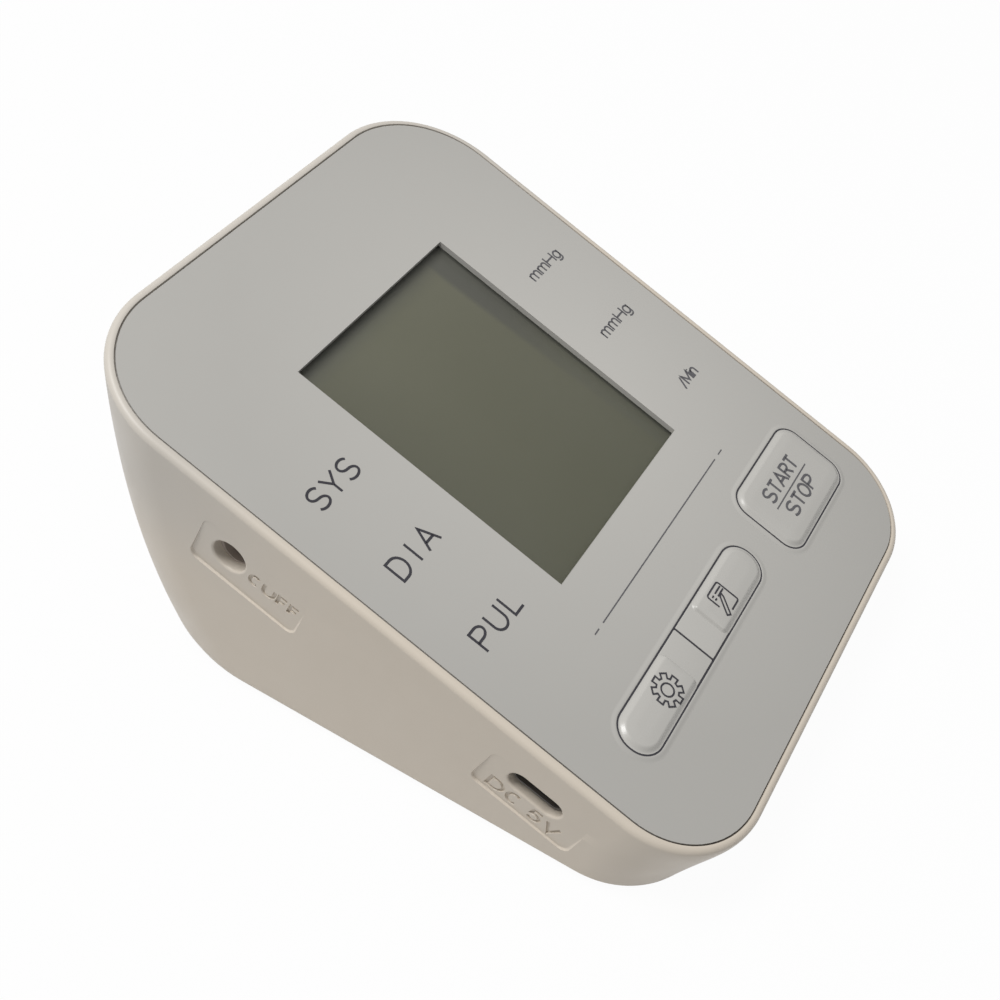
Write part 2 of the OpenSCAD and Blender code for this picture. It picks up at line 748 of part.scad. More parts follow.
module lcd_holder() {
    color([0.85, 0.85, 0.84]) on_face() difference() {
        slab(board_top, deck_low) translate([window_x, window_v]) square([holder_w, holder_l], center = true);
        slab(reflector_low, deck_low + 1) glass_outline(0.2);
        slab(board_top - 1, deck_low + 1) {
            zebra(-1, 0.1);
            zebra(1, 0.1);
        }
        // Open middle behind the reflector
        slab(board_top - 1, reflector_low + eps) translate([window_x, window_v])
            square([glass_w - 8, glass_l - 14], center = true);
    }
}

// ---- Circuit board -----------------------------------------------------------------------

// Wide part at the front, a neck behind the display and a strip under the keys
module board_outline() {
    half = body_w / 2 - wall - 1.2;
    front = -key_row - switch_w / 2 - 2;
    neck = window_x - holder_w / 2 - 0.4;
    neck_end = window_x + holder_w / 2 + 2 * standoff_r + 1.4;
    translate([-half, front + 4]) square([2 * half, 27]);
    translate([neck, front + 4]) square([neck_end - neck, window_v + glass_l / 2 - front - 4]);
    translate([settings_switch_x - switch_w / 2 - 1, front])
        square([start_x - settings_switch_x + switch_w + 1.2, 10]);
}

module main_board() {
    color([0.13, 0.38, 0.2]) on_face() difference() {
        slab(board_low, board_top) board_outline();
        for (p = board_screw_places) translate([p[0], p[1], board_low - 1]) cylinder(r = board_screw_r + 0.2, h = board_t + 2);
        // Notch for the sunk power inlet
        translate([wall_x, -usb_v - usb_w / 2 - 0.2, board_low - 1]) cube([usb_x - wall_x + usb_l + 0.2, usb_w + 0.4, board_t + 2]);
    }
}

module control_chip() {
    color([0.12, 0.12, 0.13]) on_face() translate([window_x - chip_w / 6, 2, board_low - chip_t])
        cube([chip_w, chip_w, chip_t]);
}

module buzzer() {
    x = window_x + holder_w / 2 - buzzer_r - 3;
    color([0.1, 0.1, 0.11]) on_face() translate([x, -buzzer_r - 0.5, board_low - buzzer_h]) difference() {
        cylinder(r = buzzer_r, h = buzzer_h);
        translate([0, 0, -1]) cylinder(r = buzzer_r * 0.18, h = buzzer_h / 2);
    }
}

// The sensor's nipple points down at the manifold, square to the board
module sensor_axis() {
    translate([-manifold_x, sensor_y, manifold_z]) rotate([face_tilt, 0, 0]) children();
}

module pressure_sensor() {
    color([0.9, 0.9, 0.88]) sensor_axis() {
        translate([-nipple_r - 0.5, -sensor_w / 2, sensor_run]) cube([sensor_w + 1, sensor_w, sensor_h]);
        translate([0, 0, sensor_run - nipple_l]) tube_z(nipple_r, 0.7, nipple_l + 0.5);
    }
}

// ---- Power inlet and cuff port -----------------------------------------------------------

module usb_shell() {
    t = 0.3;
    color([0.72, 0.72, 0.74]) on_face() translate([usb_x, -usb_v, -usb_n]) difference() {
        along_x(usb_l) rounded(usb_w, usb_h, usb_h / 2 - 0.2);
        translate([-1, 0, 0]) along_x(usb_l + 0.4) rounded(usb_w - 2 * t, usb_h - 2 * t, usb_h / 2 - t - 0.2);
    }
}

module usb_tongue() {
    color([0.12, 0.12, 0.13]) on_face() translate([usb_x, -usb_v, -usb_n]) {
        translate([usb_l - 2.1, 0, 0]) along_x(1.5) rounded(usb_w - 0.7, usb_h - 0.7, usb_h / 2 - 0.55);
        translate([0.9, -usb_w * 0.37, -0.35]) cube([usb_l - 2.5, usb_w * 0.74, 0.7]);
    }
}

module cuff_socket() {
    color([0.5, 0.49, 0.47]) translate([socket_x, cuff_y, cuff_z]) difference() {
        union() {
            rod_x(socket_r, socket_l);
            translate([socket_l - eps, 0, 0]) rod_x(nipple_r, elbow_x - socket_end);
        }
        translate([-1, 0, 0]) rod_x(cuff_bore_r, cuff_bore_l + 1);
        translate([0, 0, 0]) rod_x(0.8, far);
        // Rebate for the seal
        translate([-1, 0, 0]) difference() {
            rod_x(socket_r + 1, 1.8);
            rod_x(socket_r - 1, 1.8);
        }
    }
}

module socket_seal() {
    color([0.25, 0.25, 0.26]) translate([socket_x, cuff_y, cuff_z]) difference() {
        rod_x(socket_r, 0.8);
        translate([-1, 0, 0]) rod_x(socket_r - 1, 3);
    }
}

// Elbow from the cuff socket down to the manifold
module cuff_tube() {
    hole = nipple_r + tube_fit;
    foot = manifold_z + manifold_r + 0.1;
    color([0.85, 0.84, 0.8]) {
        translate([socket_end, cuff_y, cuff_z]) rotate([0, 90, 0]) tube_z(tube_r, hole, elbow_x - socket_end);
        translate([elbow_x, cuff_y, cuff_z - tube_bend]) rotate([90, 0, 0]) rotate_extrude(angle = 90)
            translate([tube_bend, 0]) difference() {
                circle(r = tube_r);
                circle(r = hole);
            }
        translate([-manifold_x, cuff_y, foot]) tube_z(tube_r, hole, cuff_z - tube_bend - foot);
    }
}

module sensor_tube() {
    color([0.85, 0.84, 0.8]) sensor_axis() translate([0, 0, sensor_foot])
        tube_z(tube_r, nipple_r + tube_fit, sensor_run - sensor_foot);
}

module pump_tube() {
    start = -manifold_x + manifold_r + 0.1;
    color([0.85, 0.84, 0.8]) translate([start, pump_y, manifold_z]) rotate([0, 90, 0])
        tube_z(tube_r, nipple_r + tube_fit, pump_x - start);
}

module valve_tube() {
    start = -valve_y0;
    color([0.85, 0.84, 0.8]) translate([-manifold_x, start, manifold_z]) rotate([-90, 0, 0])
        tube_z(tube_r, nipple_r + tube_fit, manifold_y0 - start);
}

module air_manifold() {
    color([0.88, 0.88, 0.86]) difference() {
        union() {
            translate([-manifold_x, manifold_y0, manifold_z]) rod_y(manifold_r, manifold_y1 - manifold_y0);
            translate([-manifold_x, manifold_y0 - 2.2, manifold_z]) rod_y(nipple_r, 3);
            translate([-manifold_x, pump_y, manifold_z]) rod_x(nipple_r, nipple_reach);
            translate([-manifold_x, cuff_y, manifold_z]) cylinder(r = nipple_r, h = nipple_reach);
            sensor_axis() cylinder(r = nipple_r, h = nipple_reach);
        }
        translate([-manifold_x, manifold_y0 - 3, manifold_z]) rod_y(0.8, manifold_y1 - manifold_y0 + 1);
        translate([-manifold_x, pump_y, manifold_z]) rod_x(0.7, nipple_reach + 1);
        translate([-manifold_x, cuff_y, manifold_z]) cylinder(r = 0.7, h = nipple_reach + 1);
        sensor_axis() cylinder(r = 0.7, h = nipple_reach + 1);
    }
}

module exhaust_valve() {
    color([0.62, 0.62, 0.64]) translate([-manifold_x, valve_y0, manifold_z]) difference() {
        union() {
            rod_y(valve_r, valve_l);
            translate([0, valve_l - eps, 0]) rod_y(nipple_r, 3);
            translate([0, -1.2, 0]) rod_y(2, 1.3);
        }
        translate([0, valve_l / 2, 0]) rod_y(0.7, valve_l);
    }
}

// ---- Pump --------------------------------------------------------------------------------

module pump_motor() {
    color([0.66, 0.66, 0.68]) translate([pump_x + head_l, pump_y, pump_z]) {
        rod_x(motor_r, motor_l);
        translate([motor_l - eps, 0, 0]) rod_x(3.4, 2);
    }
}

module pump_head() {
    color([0.9, 0.89, 0.86]) translate([pump_x, pump_y, pump_z]) difference() {
        union() {
            rod_x(head_r, head_l * 0.45);
            translate([head_l * 0.45 - eps, 0, 0]) rod_x(head_r - 0.8, head_l * 0.15 + 2 * eps);
            translate([head_l * 0.6, 0, 0]) rod_x(head_r, head_l * 0.4);
            translate([-nipple_l, 0, manifold_z - pump_z]) rod_x(nipple_r, nipple_l + 1);
        }
        translate([-nipple_l - 1, 0, manifold_z - pump_z]) rod_x(0.7, nipple_l + 4);
    }
}

module pump_cushion() {
    color([0.3, 0.3, 0.32]) translate([pump_x + head_l + 2, pump_y, pump_z]) difference() {
        rod_x(motor_r + cushion_t, motor_l - 4);
        translate([-1, 0, 0]) rod_x(motor_r, motor_l);
        translate([-1, -far / 2, -motor_r * 0.35]) cube([far, far, far]);
    }
}

// ---- Batteries ---------------------------------------------------------------------------

module battery_cell(i) {
    nub = 1;
    turned = i % 2 == 1 ? 180 : 0;
    color([0.2, 0.35, 0.6]) translate([bay_x, cell_y(i), cell_z]) rotate([0, 0, turned])
        translate([-cell_l / 2, 0, 0]) rotate([0, 90, 0]) rotate_extrude() polygon([
            [0, 0], [cell_r - 1.2, 0], [cell_r - 1.2, 0.3], [cell_r, 0.3], [cell_r, cell_l - nub - 0.4],
            [cell_r - 0.4, cell_l - nub], [1.9, cell_l - nub], [1.9, cell_l], [0, cell_l]
        ]);
}

module battery_cell_1() {
    battery_cell(0);
}

module battery_cell_2() {
    battery_cell(1);
}

module battery_cell_3() {
    battery_cell(2);
}

module battery_cell_4() {
    battery_cell(3);
}

// Contact plate over the cells from first to last; side is the end of the bay that it lines
module contact_plate(side, first, last) {
    t = contact_t;
    y0 = cell_y(first) - contact_w / 2;
    y1 = cell_y(last) + contact_w / 2;
    face = bay_x + side * bay_l / 2;
    translate([side > 0 ? face - t : face, y0, cell_z - contact_w / 2]) cube([t, y1 - y0, contact_w]);
    // A bent leaf presses on each flat end, and a dimple meets each nub
    for (i = [first : last]) {
        flat_end = (side > 0) == (i % 2 == 1);
        reach = contact_room - t;
        translate([face - side * t, cell_y(i), cell_z]) scale([-side, 1, 1])
            if (flat_end)
                rotate([90, 0, 0]) translate([0, 0, -1.5]) linear_extrude(height = 3)
                    polygon([[-0.1, -3], [0.3, -3], [reach, 0], [0.3, 3], [-0.1, 3], [-0.1, 2.6], [0, 2.6],
                        [reach - 0.5, 0], [0, -2.6], [-0.1, -2.6]]);
            else
                translate([-0.1, 0, 0]) rod_x(1.2, reach + 0.1);
    }
}

module battery_contacts_left() {
    color([0.75, 0.75, 0.76]) {
        contact_plate(-1, 0, 1);
        contact_plate(-1, 2, 3);
    }
}

module battery_contacts_right() {
    color([0.75, 0.75, 0.76]) {
        contact_plate(1, 0, 0);
        contact_plate(1, 1, 2);
        contact_plate(1, 3, 3);
    }
}

module battery_door() {
    slot = 0.8;
    slot_l = 7;
    color([0.76, 0.73, 0.68]) difference() {
        union() {
            translate([bay_x - door_l / 2, door_y0, base_z]) cube([door_l, hinge_y - door_y0, door_t]);
            translate([bay_x - door_l / 2, hinge_y, hinge_z]) rod_x(door_t / 2, door_l);
            translate([bay_x - door_l / 2 - door_gap - hinge_l, hinge_y, hinge_z])
                rod_x(hinge_r, door_l + 2 * door_gap + 2 * hinge_l);
            // Catch on the tongue's edge
            translate([bay_x - latch_w / 2 + 2, door_y0 + catch_r - 0.2, base_z + door_t / 2]) rod_x(catch_r, latch_w - 4);
        }
        // Slots that free the latch tongue
        for (s = [-1, 1]) translate([bay_x + s * (latch_w + slot) / 2 - slot / 2, door_y0 - 1, base_z - 1])
            cube([slot, slot_l + 1, door_t + 2]);
        // Thumb dish in the tongue
        translate([bay_x - latch_w / 2 + 1.5, door_y0 + 3.5, base_z - 3.2]) rod_x(4, latch_w - 3);
    }
}

upper_housing();
lower_housing();
face_panel();
window_lens();
start_stop_key();
memory_key();
settings_key();
start_plunger();
memory_plunger();
settings_plunger();
start_switch();
memory_switch();
settings_switch();
lcd_glass();
lcd_reflector();
lcd_holder();
zebra_strip_front();
zebra_strip_rear();
main_board();
control_chip();
pressure_sensor();
buzzer();
usb_shell();
usb_tongue();
cuff_socket();
socket_seal();
cuff_tube();
sensor_tube();
pump_tube();
valve_tube();
air_manifold();
exhaust_valve();
pump_motor();
pump_head();
pump_cushion();
battery_cell_1();
battery_cell_2();
battery_cell_3();
battery_cell_4();
battery_contacts_left();
battery_contacts_right();
battery_door();
feet();
housing_screws();
board_screws();
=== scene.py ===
import json
import math

import bmesh
import bpy
from mathutils import Matrix, Vector


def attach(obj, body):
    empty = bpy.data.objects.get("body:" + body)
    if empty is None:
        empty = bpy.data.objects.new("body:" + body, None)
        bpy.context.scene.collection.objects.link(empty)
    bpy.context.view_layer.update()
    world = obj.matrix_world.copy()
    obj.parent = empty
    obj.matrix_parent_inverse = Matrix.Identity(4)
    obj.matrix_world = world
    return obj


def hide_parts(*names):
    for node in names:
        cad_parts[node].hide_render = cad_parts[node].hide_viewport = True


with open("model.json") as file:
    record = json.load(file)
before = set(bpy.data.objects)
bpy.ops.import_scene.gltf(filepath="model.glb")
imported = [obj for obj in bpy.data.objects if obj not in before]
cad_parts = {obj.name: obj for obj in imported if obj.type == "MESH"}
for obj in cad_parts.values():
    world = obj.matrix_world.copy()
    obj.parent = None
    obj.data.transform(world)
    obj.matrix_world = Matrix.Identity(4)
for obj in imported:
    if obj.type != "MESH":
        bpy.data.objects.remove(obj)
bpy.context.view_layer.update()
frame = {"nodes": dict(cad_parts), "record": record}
MM = 0.001
PER_METRE = 1 / MM                      # millimetres in a metre

# ---- The part's own sizes, in mm, as in its source -----------------------------------------------

BODY_W = 95.5
FACE_LEN = 122.0
TILT = math.radians(18.8)
FACE_H = 33.4                           # middle of the face over the resting plane
WALL, DECK_T, PANEL_T = 2.2, 1.4, 1.0
BASE_Z = 1.0                            # lower edge of the housing
BASE_FRONT, BASE_REAR = 51.6, 53.4
FRONT_R, REAR_R, EDGE_R = 14.5, 29.0, 1.0
WALL_SWELL, CORNER_SWELL = 1.2, 2.7
RIM_REAR_R, RIM_FRONT_R = 19.4, 16.8
RIM_W, RIM_END_W, RIM_RISE, RIM_ROUND = 1.7, 1.6, 0.1, 1.0
PANEL_GAP = 0.25
PANEL_INSET = max(RIM_W, RIM_END_W) + 0.2
WIN_X, WIN_V, WIN_W, WIN_H = 0.3, 9.3, 42.4, 52.1
GLASS_W, GLASS_H, GLASS_PLAY = 48.0, 60.0, 0.2
GLASS_R = 0.01                          # its opening's corners, as good as sharp
KEY_V, KEY_RISE, KEY_CROWN, KEY_GAP = -38.9, 0.65, 0.2, 0.3
FLANGE, FLANGE_T, FLANGE_PLAY = 1.0, 0.8, 0.3
START_X, START_W, START_L, START_R = 28.4, 23.8, 14.4, 3.3
PILL_X, PILL_W, PILL_L, PILL_R = -13.6, 46.0, 7.7, 3.7
KEY_PAD_LEN = 17.6
CELL_X = 5.32                           # middle of the battery cells

# Ports in the left wall, fitted to the photograph more closely than in the source: places along
# v and n, and sizes
CUFF_V, CUFF_N, CUFF_R = 24.5, -11.0, 2.95
USB_V, USB_N, USB_W, USB_H = -32.4, -8.95, 9.64, 4.25
PORT_TOP = -6.2                         # n where the sunken pads leave the wall
PAD_DEPTH, PAD_LEAN, PAD_R = 0.36, 0.0045, 1.5
CUFF_PAD = (10.4, 30.2, -16.7)          # pad: two ends along v, n of its lower edge
USB_PAD = (-41.8, -23.6, -15.9)
USB_R = USB_H / 2 - 0.02                # its ends are as good as half round
CUFF_LIP, USB_LIP = 0.42, 0.4           # rounding of the two mouths
CUFF_WORD = (20.2, 11.3, -12.7, -10.5)  # engraved word: v from and to, n from and to
USB_WORD = (-26.1, -39.0, -14.9, -12.2)

# ---- What the looks add to them, in mm -----------------------------------------------------------

LIP_W, LIP_SLOPE_W, LIP_RISE = 1.0, 0.85, 0.14      # the panel's film stands up round the keys
LIP_START, LIP_TURN = 0.004, 0.03       # where the film's rise starts over the panel, and its turn down
GAP_DROP = 0.05                         # bottom of the gap round a key, under the film's edge
MIDDLE_GAP_W, MIDDLE_GAP_DROP = 0.28, 0.04      # the gap between the two small keys
EDGE = 1.15                             # width of a key's rounded edge
FINE, CROWN_REACH = 1.2, 3.0            # from a key's edge: to the coarser rings, to the full crown
KEY_PAD_LOW = -0.4                      # foot of a key's raised pad
STEEP = 0.5                             # share of the usual width that a small key's inner slope takes
INNER_R, PAD_INNER_R = 0.2, 1.3         # inner corners of a small key, and of its raised pad
LEDGE_EDGE = 0.15                       # rounding of the ledge beside a small key's pad
KEY_PRINT_LIFT, PANEL_PRINT_LIFT = 0.045, 0.03
GROOVE_TOP_W, GROOVE_LOW_W = 0.72, 0.46
GROOVE_TOP, GROOVE_LOW = 0.12, -0.34    # ends of an engraving's cutter, out of the pad
ENGRAVED_GAP = 0.3                      # between engraved letters, in the glyphs' units
PRINT_STEP, GROOVE_STEP = 0.25, 5.0     # longest edge along a printed and an engraved stroke
SEAM_N = -0.28                          # floor of the gap between the panel and the rim
SEAM_OFF = 0.02                         # its inner edge stands this far off the panel
PANEL_BEVEL = 0.2

# ---- Camera and light ----------------------------------------------------------------------------

CAMERA_AT = (-154.8, -58.39, 189.8)     # mm, fitted to the photograph
CAMERA_RIGHT = (.48962, -.86344, .12142)
CAMERA_BACK = (-.64110, -.26211, .72131)
LENS, SENSOR = 50.18, 36.0
LAMP_AT, LAMP_TARGET = (-0.19, 0.3, 0.8), (0, 0, 0.03)      # metres
LAMP_SIZE, LAMP_POWER = 0.4, 6.35
FILL = 0.38                             # strength of the light from all round
FLOOR_HALF, FLOOR_GREY = 4, 0.62        # metres from the middle to a side, and its grey in the light
FLOOR_WHITE = 0.965                     # share of plain white where the camera sees it

# ---- The face's frame ----------------------------------------------------------------------------

COS, SIN = math.cos(TILT), math.sin(TILT)
CREST = RIM_RISE - RIM_ROUND
FACE_Y0 = CREST * SIN
DECK_TOP = -PANEL_T
DECK_LOW = DECK_TOP - DECK_T
KEY_FLOOR = DECK_LOW - FLANGE_PLAY - FLANGE_T
CORNER_SEGS = 26                        # edges in a corner of the housing and of its recess
MERGE = 1e-7                            # metres within which points count as one


def face(x, v, n):
    """Face frame (x right, v up the slope, n out) in mm to the row frame in metres."""
    return Vector((x, FACE_Y0 + v * COS - n * SIN, FACE_H + v * SIN + n * COS)) * MM


def to_face(x, y, z):
    """Row frame in mm to the face frame in mm."""
    y, z = y - FACE_Y0, z - FACE_H
    return x, y * COS + z * SIN, z * COS - y * SIN


EYE = [round(c, 1) for c in to_face(*CAMERA_AT)]        # the camera, to a tenth of a millimetre


def seen(x, v, n):
    """Place (x, v) at height n that the camera sees over (x, v) of the panel."""
    return x - (x - EYE[0]) * n / EYE[2], v - (v - EYE[1]) * n / EYE[2]


# ---- Materials -----------------------------------------------------------------------------------

def srgb(r, g, b):
    def linear(c):
        c /= 255
        return c / 12.92 if c <= 0.04045 else ((c + 0.055) / 1.055) ** 2.4
    return (linear(r), linear(g), linear(b), 1.0)


def shade(color, k):
    return tuple(min(1.0, c * k) for c in color[:3]) + (1.0,)


class Mat:
    """A Principled material and short calls for the nodes behind it."""

    def __init__(self, name):
        self.material = bpy.data.materials.new(name)
        self.material.use_nodes = True
        self.tree = self.material.node_tree
        self.shader = self.tree.nodes["Principled BSDF"]
        self.output = self.tree.nodes["Material Output"]
        self.place = self.node("ShaderNodeTexCoord").outputs["Object"]

    def node(self, kind, **props):
        n = self.tree.nodes.new(kind)
        for k, v in props.items():
            setattr(n, k, v)
        return n

    def put(self, socket, value):
        if isinstance(value, bpy.types.NodeSocket):
            self.tree.links.new(value, socket)
        else:
            socket.default_value = value

    def set(self, **values):
        for k, v in values.items():
            self.put(self.shader.inputs[k.replace("_", " ")], v)
        return self

    def noise(self, size_mm, detail=2.0, rough=0.5, stretch=(1, 1, 1)):
        mapping = self.node("ShaderNodeMapping")
        mapping.inputs["Scale"].default_value = [PER_METRE / size_mm / s for s in stretch]
        self.put(mapping.inputs["Vector"], self.place)
        n = self.node("ShaderNodeTexNoise")
        self.put(n.inputs["Vector"], mapping.outputs[0])
        n.inputs["Scale"].default_value = 1.0
        n.inputs["Detail"].default_value = detail
        n.inputs["Roughness"].default_value = rough
        return n.outputs["Fac"]

    def ramp(self, value, lo, hi, a=0.0, b=1.0, smooth=False):
        r = self.node("ShaderNodeMapRange")
        if smooth:
            r.interpolation_type = "SMOOTHSTEP"
        for k, v in (("Value", value), ("From Min", lo), ("From Max", hi), ("To Min", a), ("To Max", b)):
            self.put(r.inputs[k], v)
        return r.outputs[0]

    def spread(self, size_mm, a, b, detail=2.0, rough=0.5, stretch=(1, 1, 1)):
        """Noise whose usual values, 0.3 to 0.7, are spread from a to b."""
        return self.ramp(self.noise(size_mm, detail, rough, stretch), 0.3, 0.7, a, b)

    def math(self, op, a, b=0.0):
        n = self.node("ShaderNodeMath", operation=op)
        self.put(n.inputs[0], a)
        self.put(n.inputs[1], b)
        return n.outputs[0]

    def mix(self, fac, a, b):
        n = self.node("ShaderNodeMix", data_type="RGBA")
        self.put(n.inputs["Factor"], fac)
        self.put(n.inputs["A"], a)
        self.put(n.inputs["B"], b)
        return n.outputs["Result"]

    def varied(self, color, share):
        """Slow variation of a colour by that share either way."""
        slow = self.spread(22.0, 0.0, 1.0, 3.0)
        return self.mix(slow, shade(color, 1 - share), shade(color, 1 + share))

    def along(self, direction, origin=(0, 0, 0)):
        """Distance in mm from origin (metres) along a direction of the row frame."""
        s = self.node("ShaderNodeVectorMath", operation="SUBTRACT")
        self.put(s.inputs[0], self.place)
        s.inputs[1].default_value = origin
        d = self.node("ShaderNodeVectorMath", operation="DOT_PRODUCT")
        self.put(d.inputs[0], s.outputs[0])
        d.inputs[1].default_value = [c * PER_METRE for c in direction]
        return d.outputs["Value"]

    def bump(self, height, strength, distance):
        n = self.node("ShaderNodeBump")
        self.put(n.inputs["Height"], height)
        n.inputs["Strength"].default_value = strength
        n.inputs["Distance"].default_value = distance * MM
        self.put(self.shader.inputs["Normal"], n.outputs[0])


def plastic(name, color, rough=0.5, grain_mm=0.35, grain=0.25, depth=0.02, vary=0.03, specular=0.4):
    """Moulded plastic: a colour that varies slowly, fine grain and uneven sheen.

    In a colour's place it takes a function that works one out behind the material.
    """
    m = Mat(name)
    m.set(Base_Color=color(m) if callable(color) else m.varied(color, vary))
    m.set(Roughness=m.spread(6.0, rough - 0.04, rough + 0.05), Specular_IOR_Level=specular)
    m.bump(m.noise(grain_mm, 2.0, 0.6), grain, depth)
    return m


HOUSING = srgb(206, 196, 182)
# The housing's colour in painted cool shade, at the top of the rear.
HOUSING_COOL_SHADE = srgb(195, 189, 180)
PANEL = srgb(181, 179, 174)
# Middle of the panel's painted sheen.
PANEL_SHEEN_AT = (14, -2)                  # x and v of its lightest place
FILM_GREEN = (0.012, 0.095, 0.03, 1)
FILM_GREEN_LIGHT = (0.025, 0.17, 0.06, 1)
SILVER = (0.5, 0.5, 0.52, 1)


def housing_painted_cool_shade(m):
    """Painted cool light and shade: slightly cooler and darker towards the top of the rear."""
    rear = m.ramp(m.along((0, 1, 0)), 5.0, 42.0, smooth=True)
    high = m.ramp(m.along((0, 0, 1)), 18.0, 40.0, smooth=True)
    return m.mix(m.math("MULTIPLY", rear, high), m.varied(HOUSING, 0.01), HOUSING_COOL_SHADE)


def panel_painted_sheen(m):
    """Painted sheen and shade: a shade lighter round a place to the right of the middle than at the edges.
    """
    lightest = face(*PANEL_SHEEN_AT, 0)
    across = m.along((1, 0, 0), lightest)
    up = m.along((0, COS, SIN), lightest)
    away = m.math("SQRT", m.math("ADD", m.math("POWER", across, 2.0), m.math("POWER", up, 2.0)))
    return m.mix(m.ramp(away, 10.0, 62.0), shade(PANEL, 1.07), shade(PANEL, 0.9))


def seam_painted_shade(m):
    """Painted shade in the gap: darker towards the front, lighter towards the rear."""
    rear = m.ramp(m.along((0, 1, 0)), -45.0, 10.0, smooth=True)
    return m.mix(rear, srgb(92, 86, 80), srgb(160, 154, 147))


def silicone():
    m = plastic("silicone", srgb(222, 218, 206), rough=0.4, vary=0.02)
    return m.set(Subsurface_Weight=0.25, Subsurface_Scale=0.002)


def display():
    """Grey-green display glass, darker in the shadow of its upper and right walls."""
    m = Mat("display")
    middle = face(WIN_X, WIN_V, 0)
    up = m.along((0, COS, SIN), middle)
    right = m.along((1, 0, 0), middle)
    top, side = WIN_H / 2, WIN_W / 2
    dark_up = m.ramp(up, top - 5.0, top + 1.0, smooth=True)
    leaning = m.math("ADD", right, m.math("MULTIPLY", up, 0.04))
    dark_right = m.ramp(leaning, side - 4.6, side - 3.0, smooth=True)
    fading = m.ramp(up, -12.0, 16.0, 0.35, 0.95, smooth=True)
    # Painted shadow of the window's upper and right walls.
    edge = m.math("MAXIMUM", dark_up, m.math("MULTIPLY", dark_right, fading))
    # Painted reflection: lighter towards the top.
    base = m.mix(m.ramp(up, -top, top - 8.0), srgb(72, 73, 51), srgb(93, 93, 73))
    base = m.mix(m.spread(40.0, 0.0, 0.12, 1.0), base, srgb(84, 85, 65))
    # Painted shade: darker towards the left end.
    base = m.mix(m.ramp(right, -side, -4.0, 0.45, 0.0, smooth=True), base, srgb(69, 70, 51))
    return m.set(Base_Color=m.mix(edge, base, srgb(62, 62, 57)), Roughness=m.spread(40.0, 0.3, 0.34),
                 Specular_IOR_Level=0.3)


def lens():
    """Clear lens: faint reflections over the display."""
    m = Mat("lens")
    tone = m.mix(m.spread(25.0, 0.0, 1.0), srgb(150, 150, 140), srgb(156, 156, 147))
    return m.set(Base_Color=tone, Alpha=0.12, Roughness=m.spread(60.0, 0.15, 0.17, 0.0),
                 Specular_IOR_Level=0.5)


def board():
    """Circuit board: solder resist with lighter tracks under it."""
    m = Mat("board")
    wander = m.ramp(m.noise(14.0, 1.0), 0.45, 0.5, -2.0, 2.0)
    stripes = m.ramp(m.math("PINGPONG", m.math("ADD", m.along((1, 0, 0)), wander), 0.9), 0.3, 0.38)
    tracks = m.math("MULTIPLY", stripes, m.ramp(m.noise(9.0, 1.0), 0.48, 0.5))
    m.set(Base_Color=m.mix(tracks, FILM_GREEN, FILM_GREEN_LIGHT), Roughness=m.spread(2.0, 0.28, 0.36))
    m.bump(tracks, 0.3, 0.03)
    return m


def bright_metal():
    """Plated metal with fine drawing marks."""
    m = Mat("bright_metal")
    drawn = (12, 1, 1)
    m.set(Base_Color=m.mix(m.spread(5.0, 0.0, 1.0, 3.0), SILVER, (0.6, 0.6, 0.61, 1)), Metallic=1.0,
          Roughness=m.spread(0.5, 0.22, 0.38, 2.0, 0.6, drawn))
    m.bump(m.noise(0.4, 2.0, 0.6, drawn), 0.15, 0.01)
    return m


def cell_wrap(name, plus):
    """Cell wrap: blue film with a plain silver band at the plus end, which is at +x or -x."""
    m = Mat(name)
    silver = m.ramp(m.along((plus, 0, 0), (CELL_X * MM, 0, 0)), 12.0, 12.2)
    film = m.mix(m.noise(8.0), (0.02, 0.07, 0.28, 1), (0.025, 0.085, 0.32, 1))
    m.set(Base_Color=m.mix(silver, film, SILVER), Metallic=m.ramp(silver, 0.0, 1.0, 0.1, 0.8),
          Roughness=m.spread(3.0, 0.25, 0.35))
    m.bump(m.noise(4.0), 0.1, 0.05)
    return m


def ink(name, color):
    return plastic(name, color, rough=0.55, grain_mm=0.2, grain=0.1, depth=0.004, vary=0.05, specular=0.2)


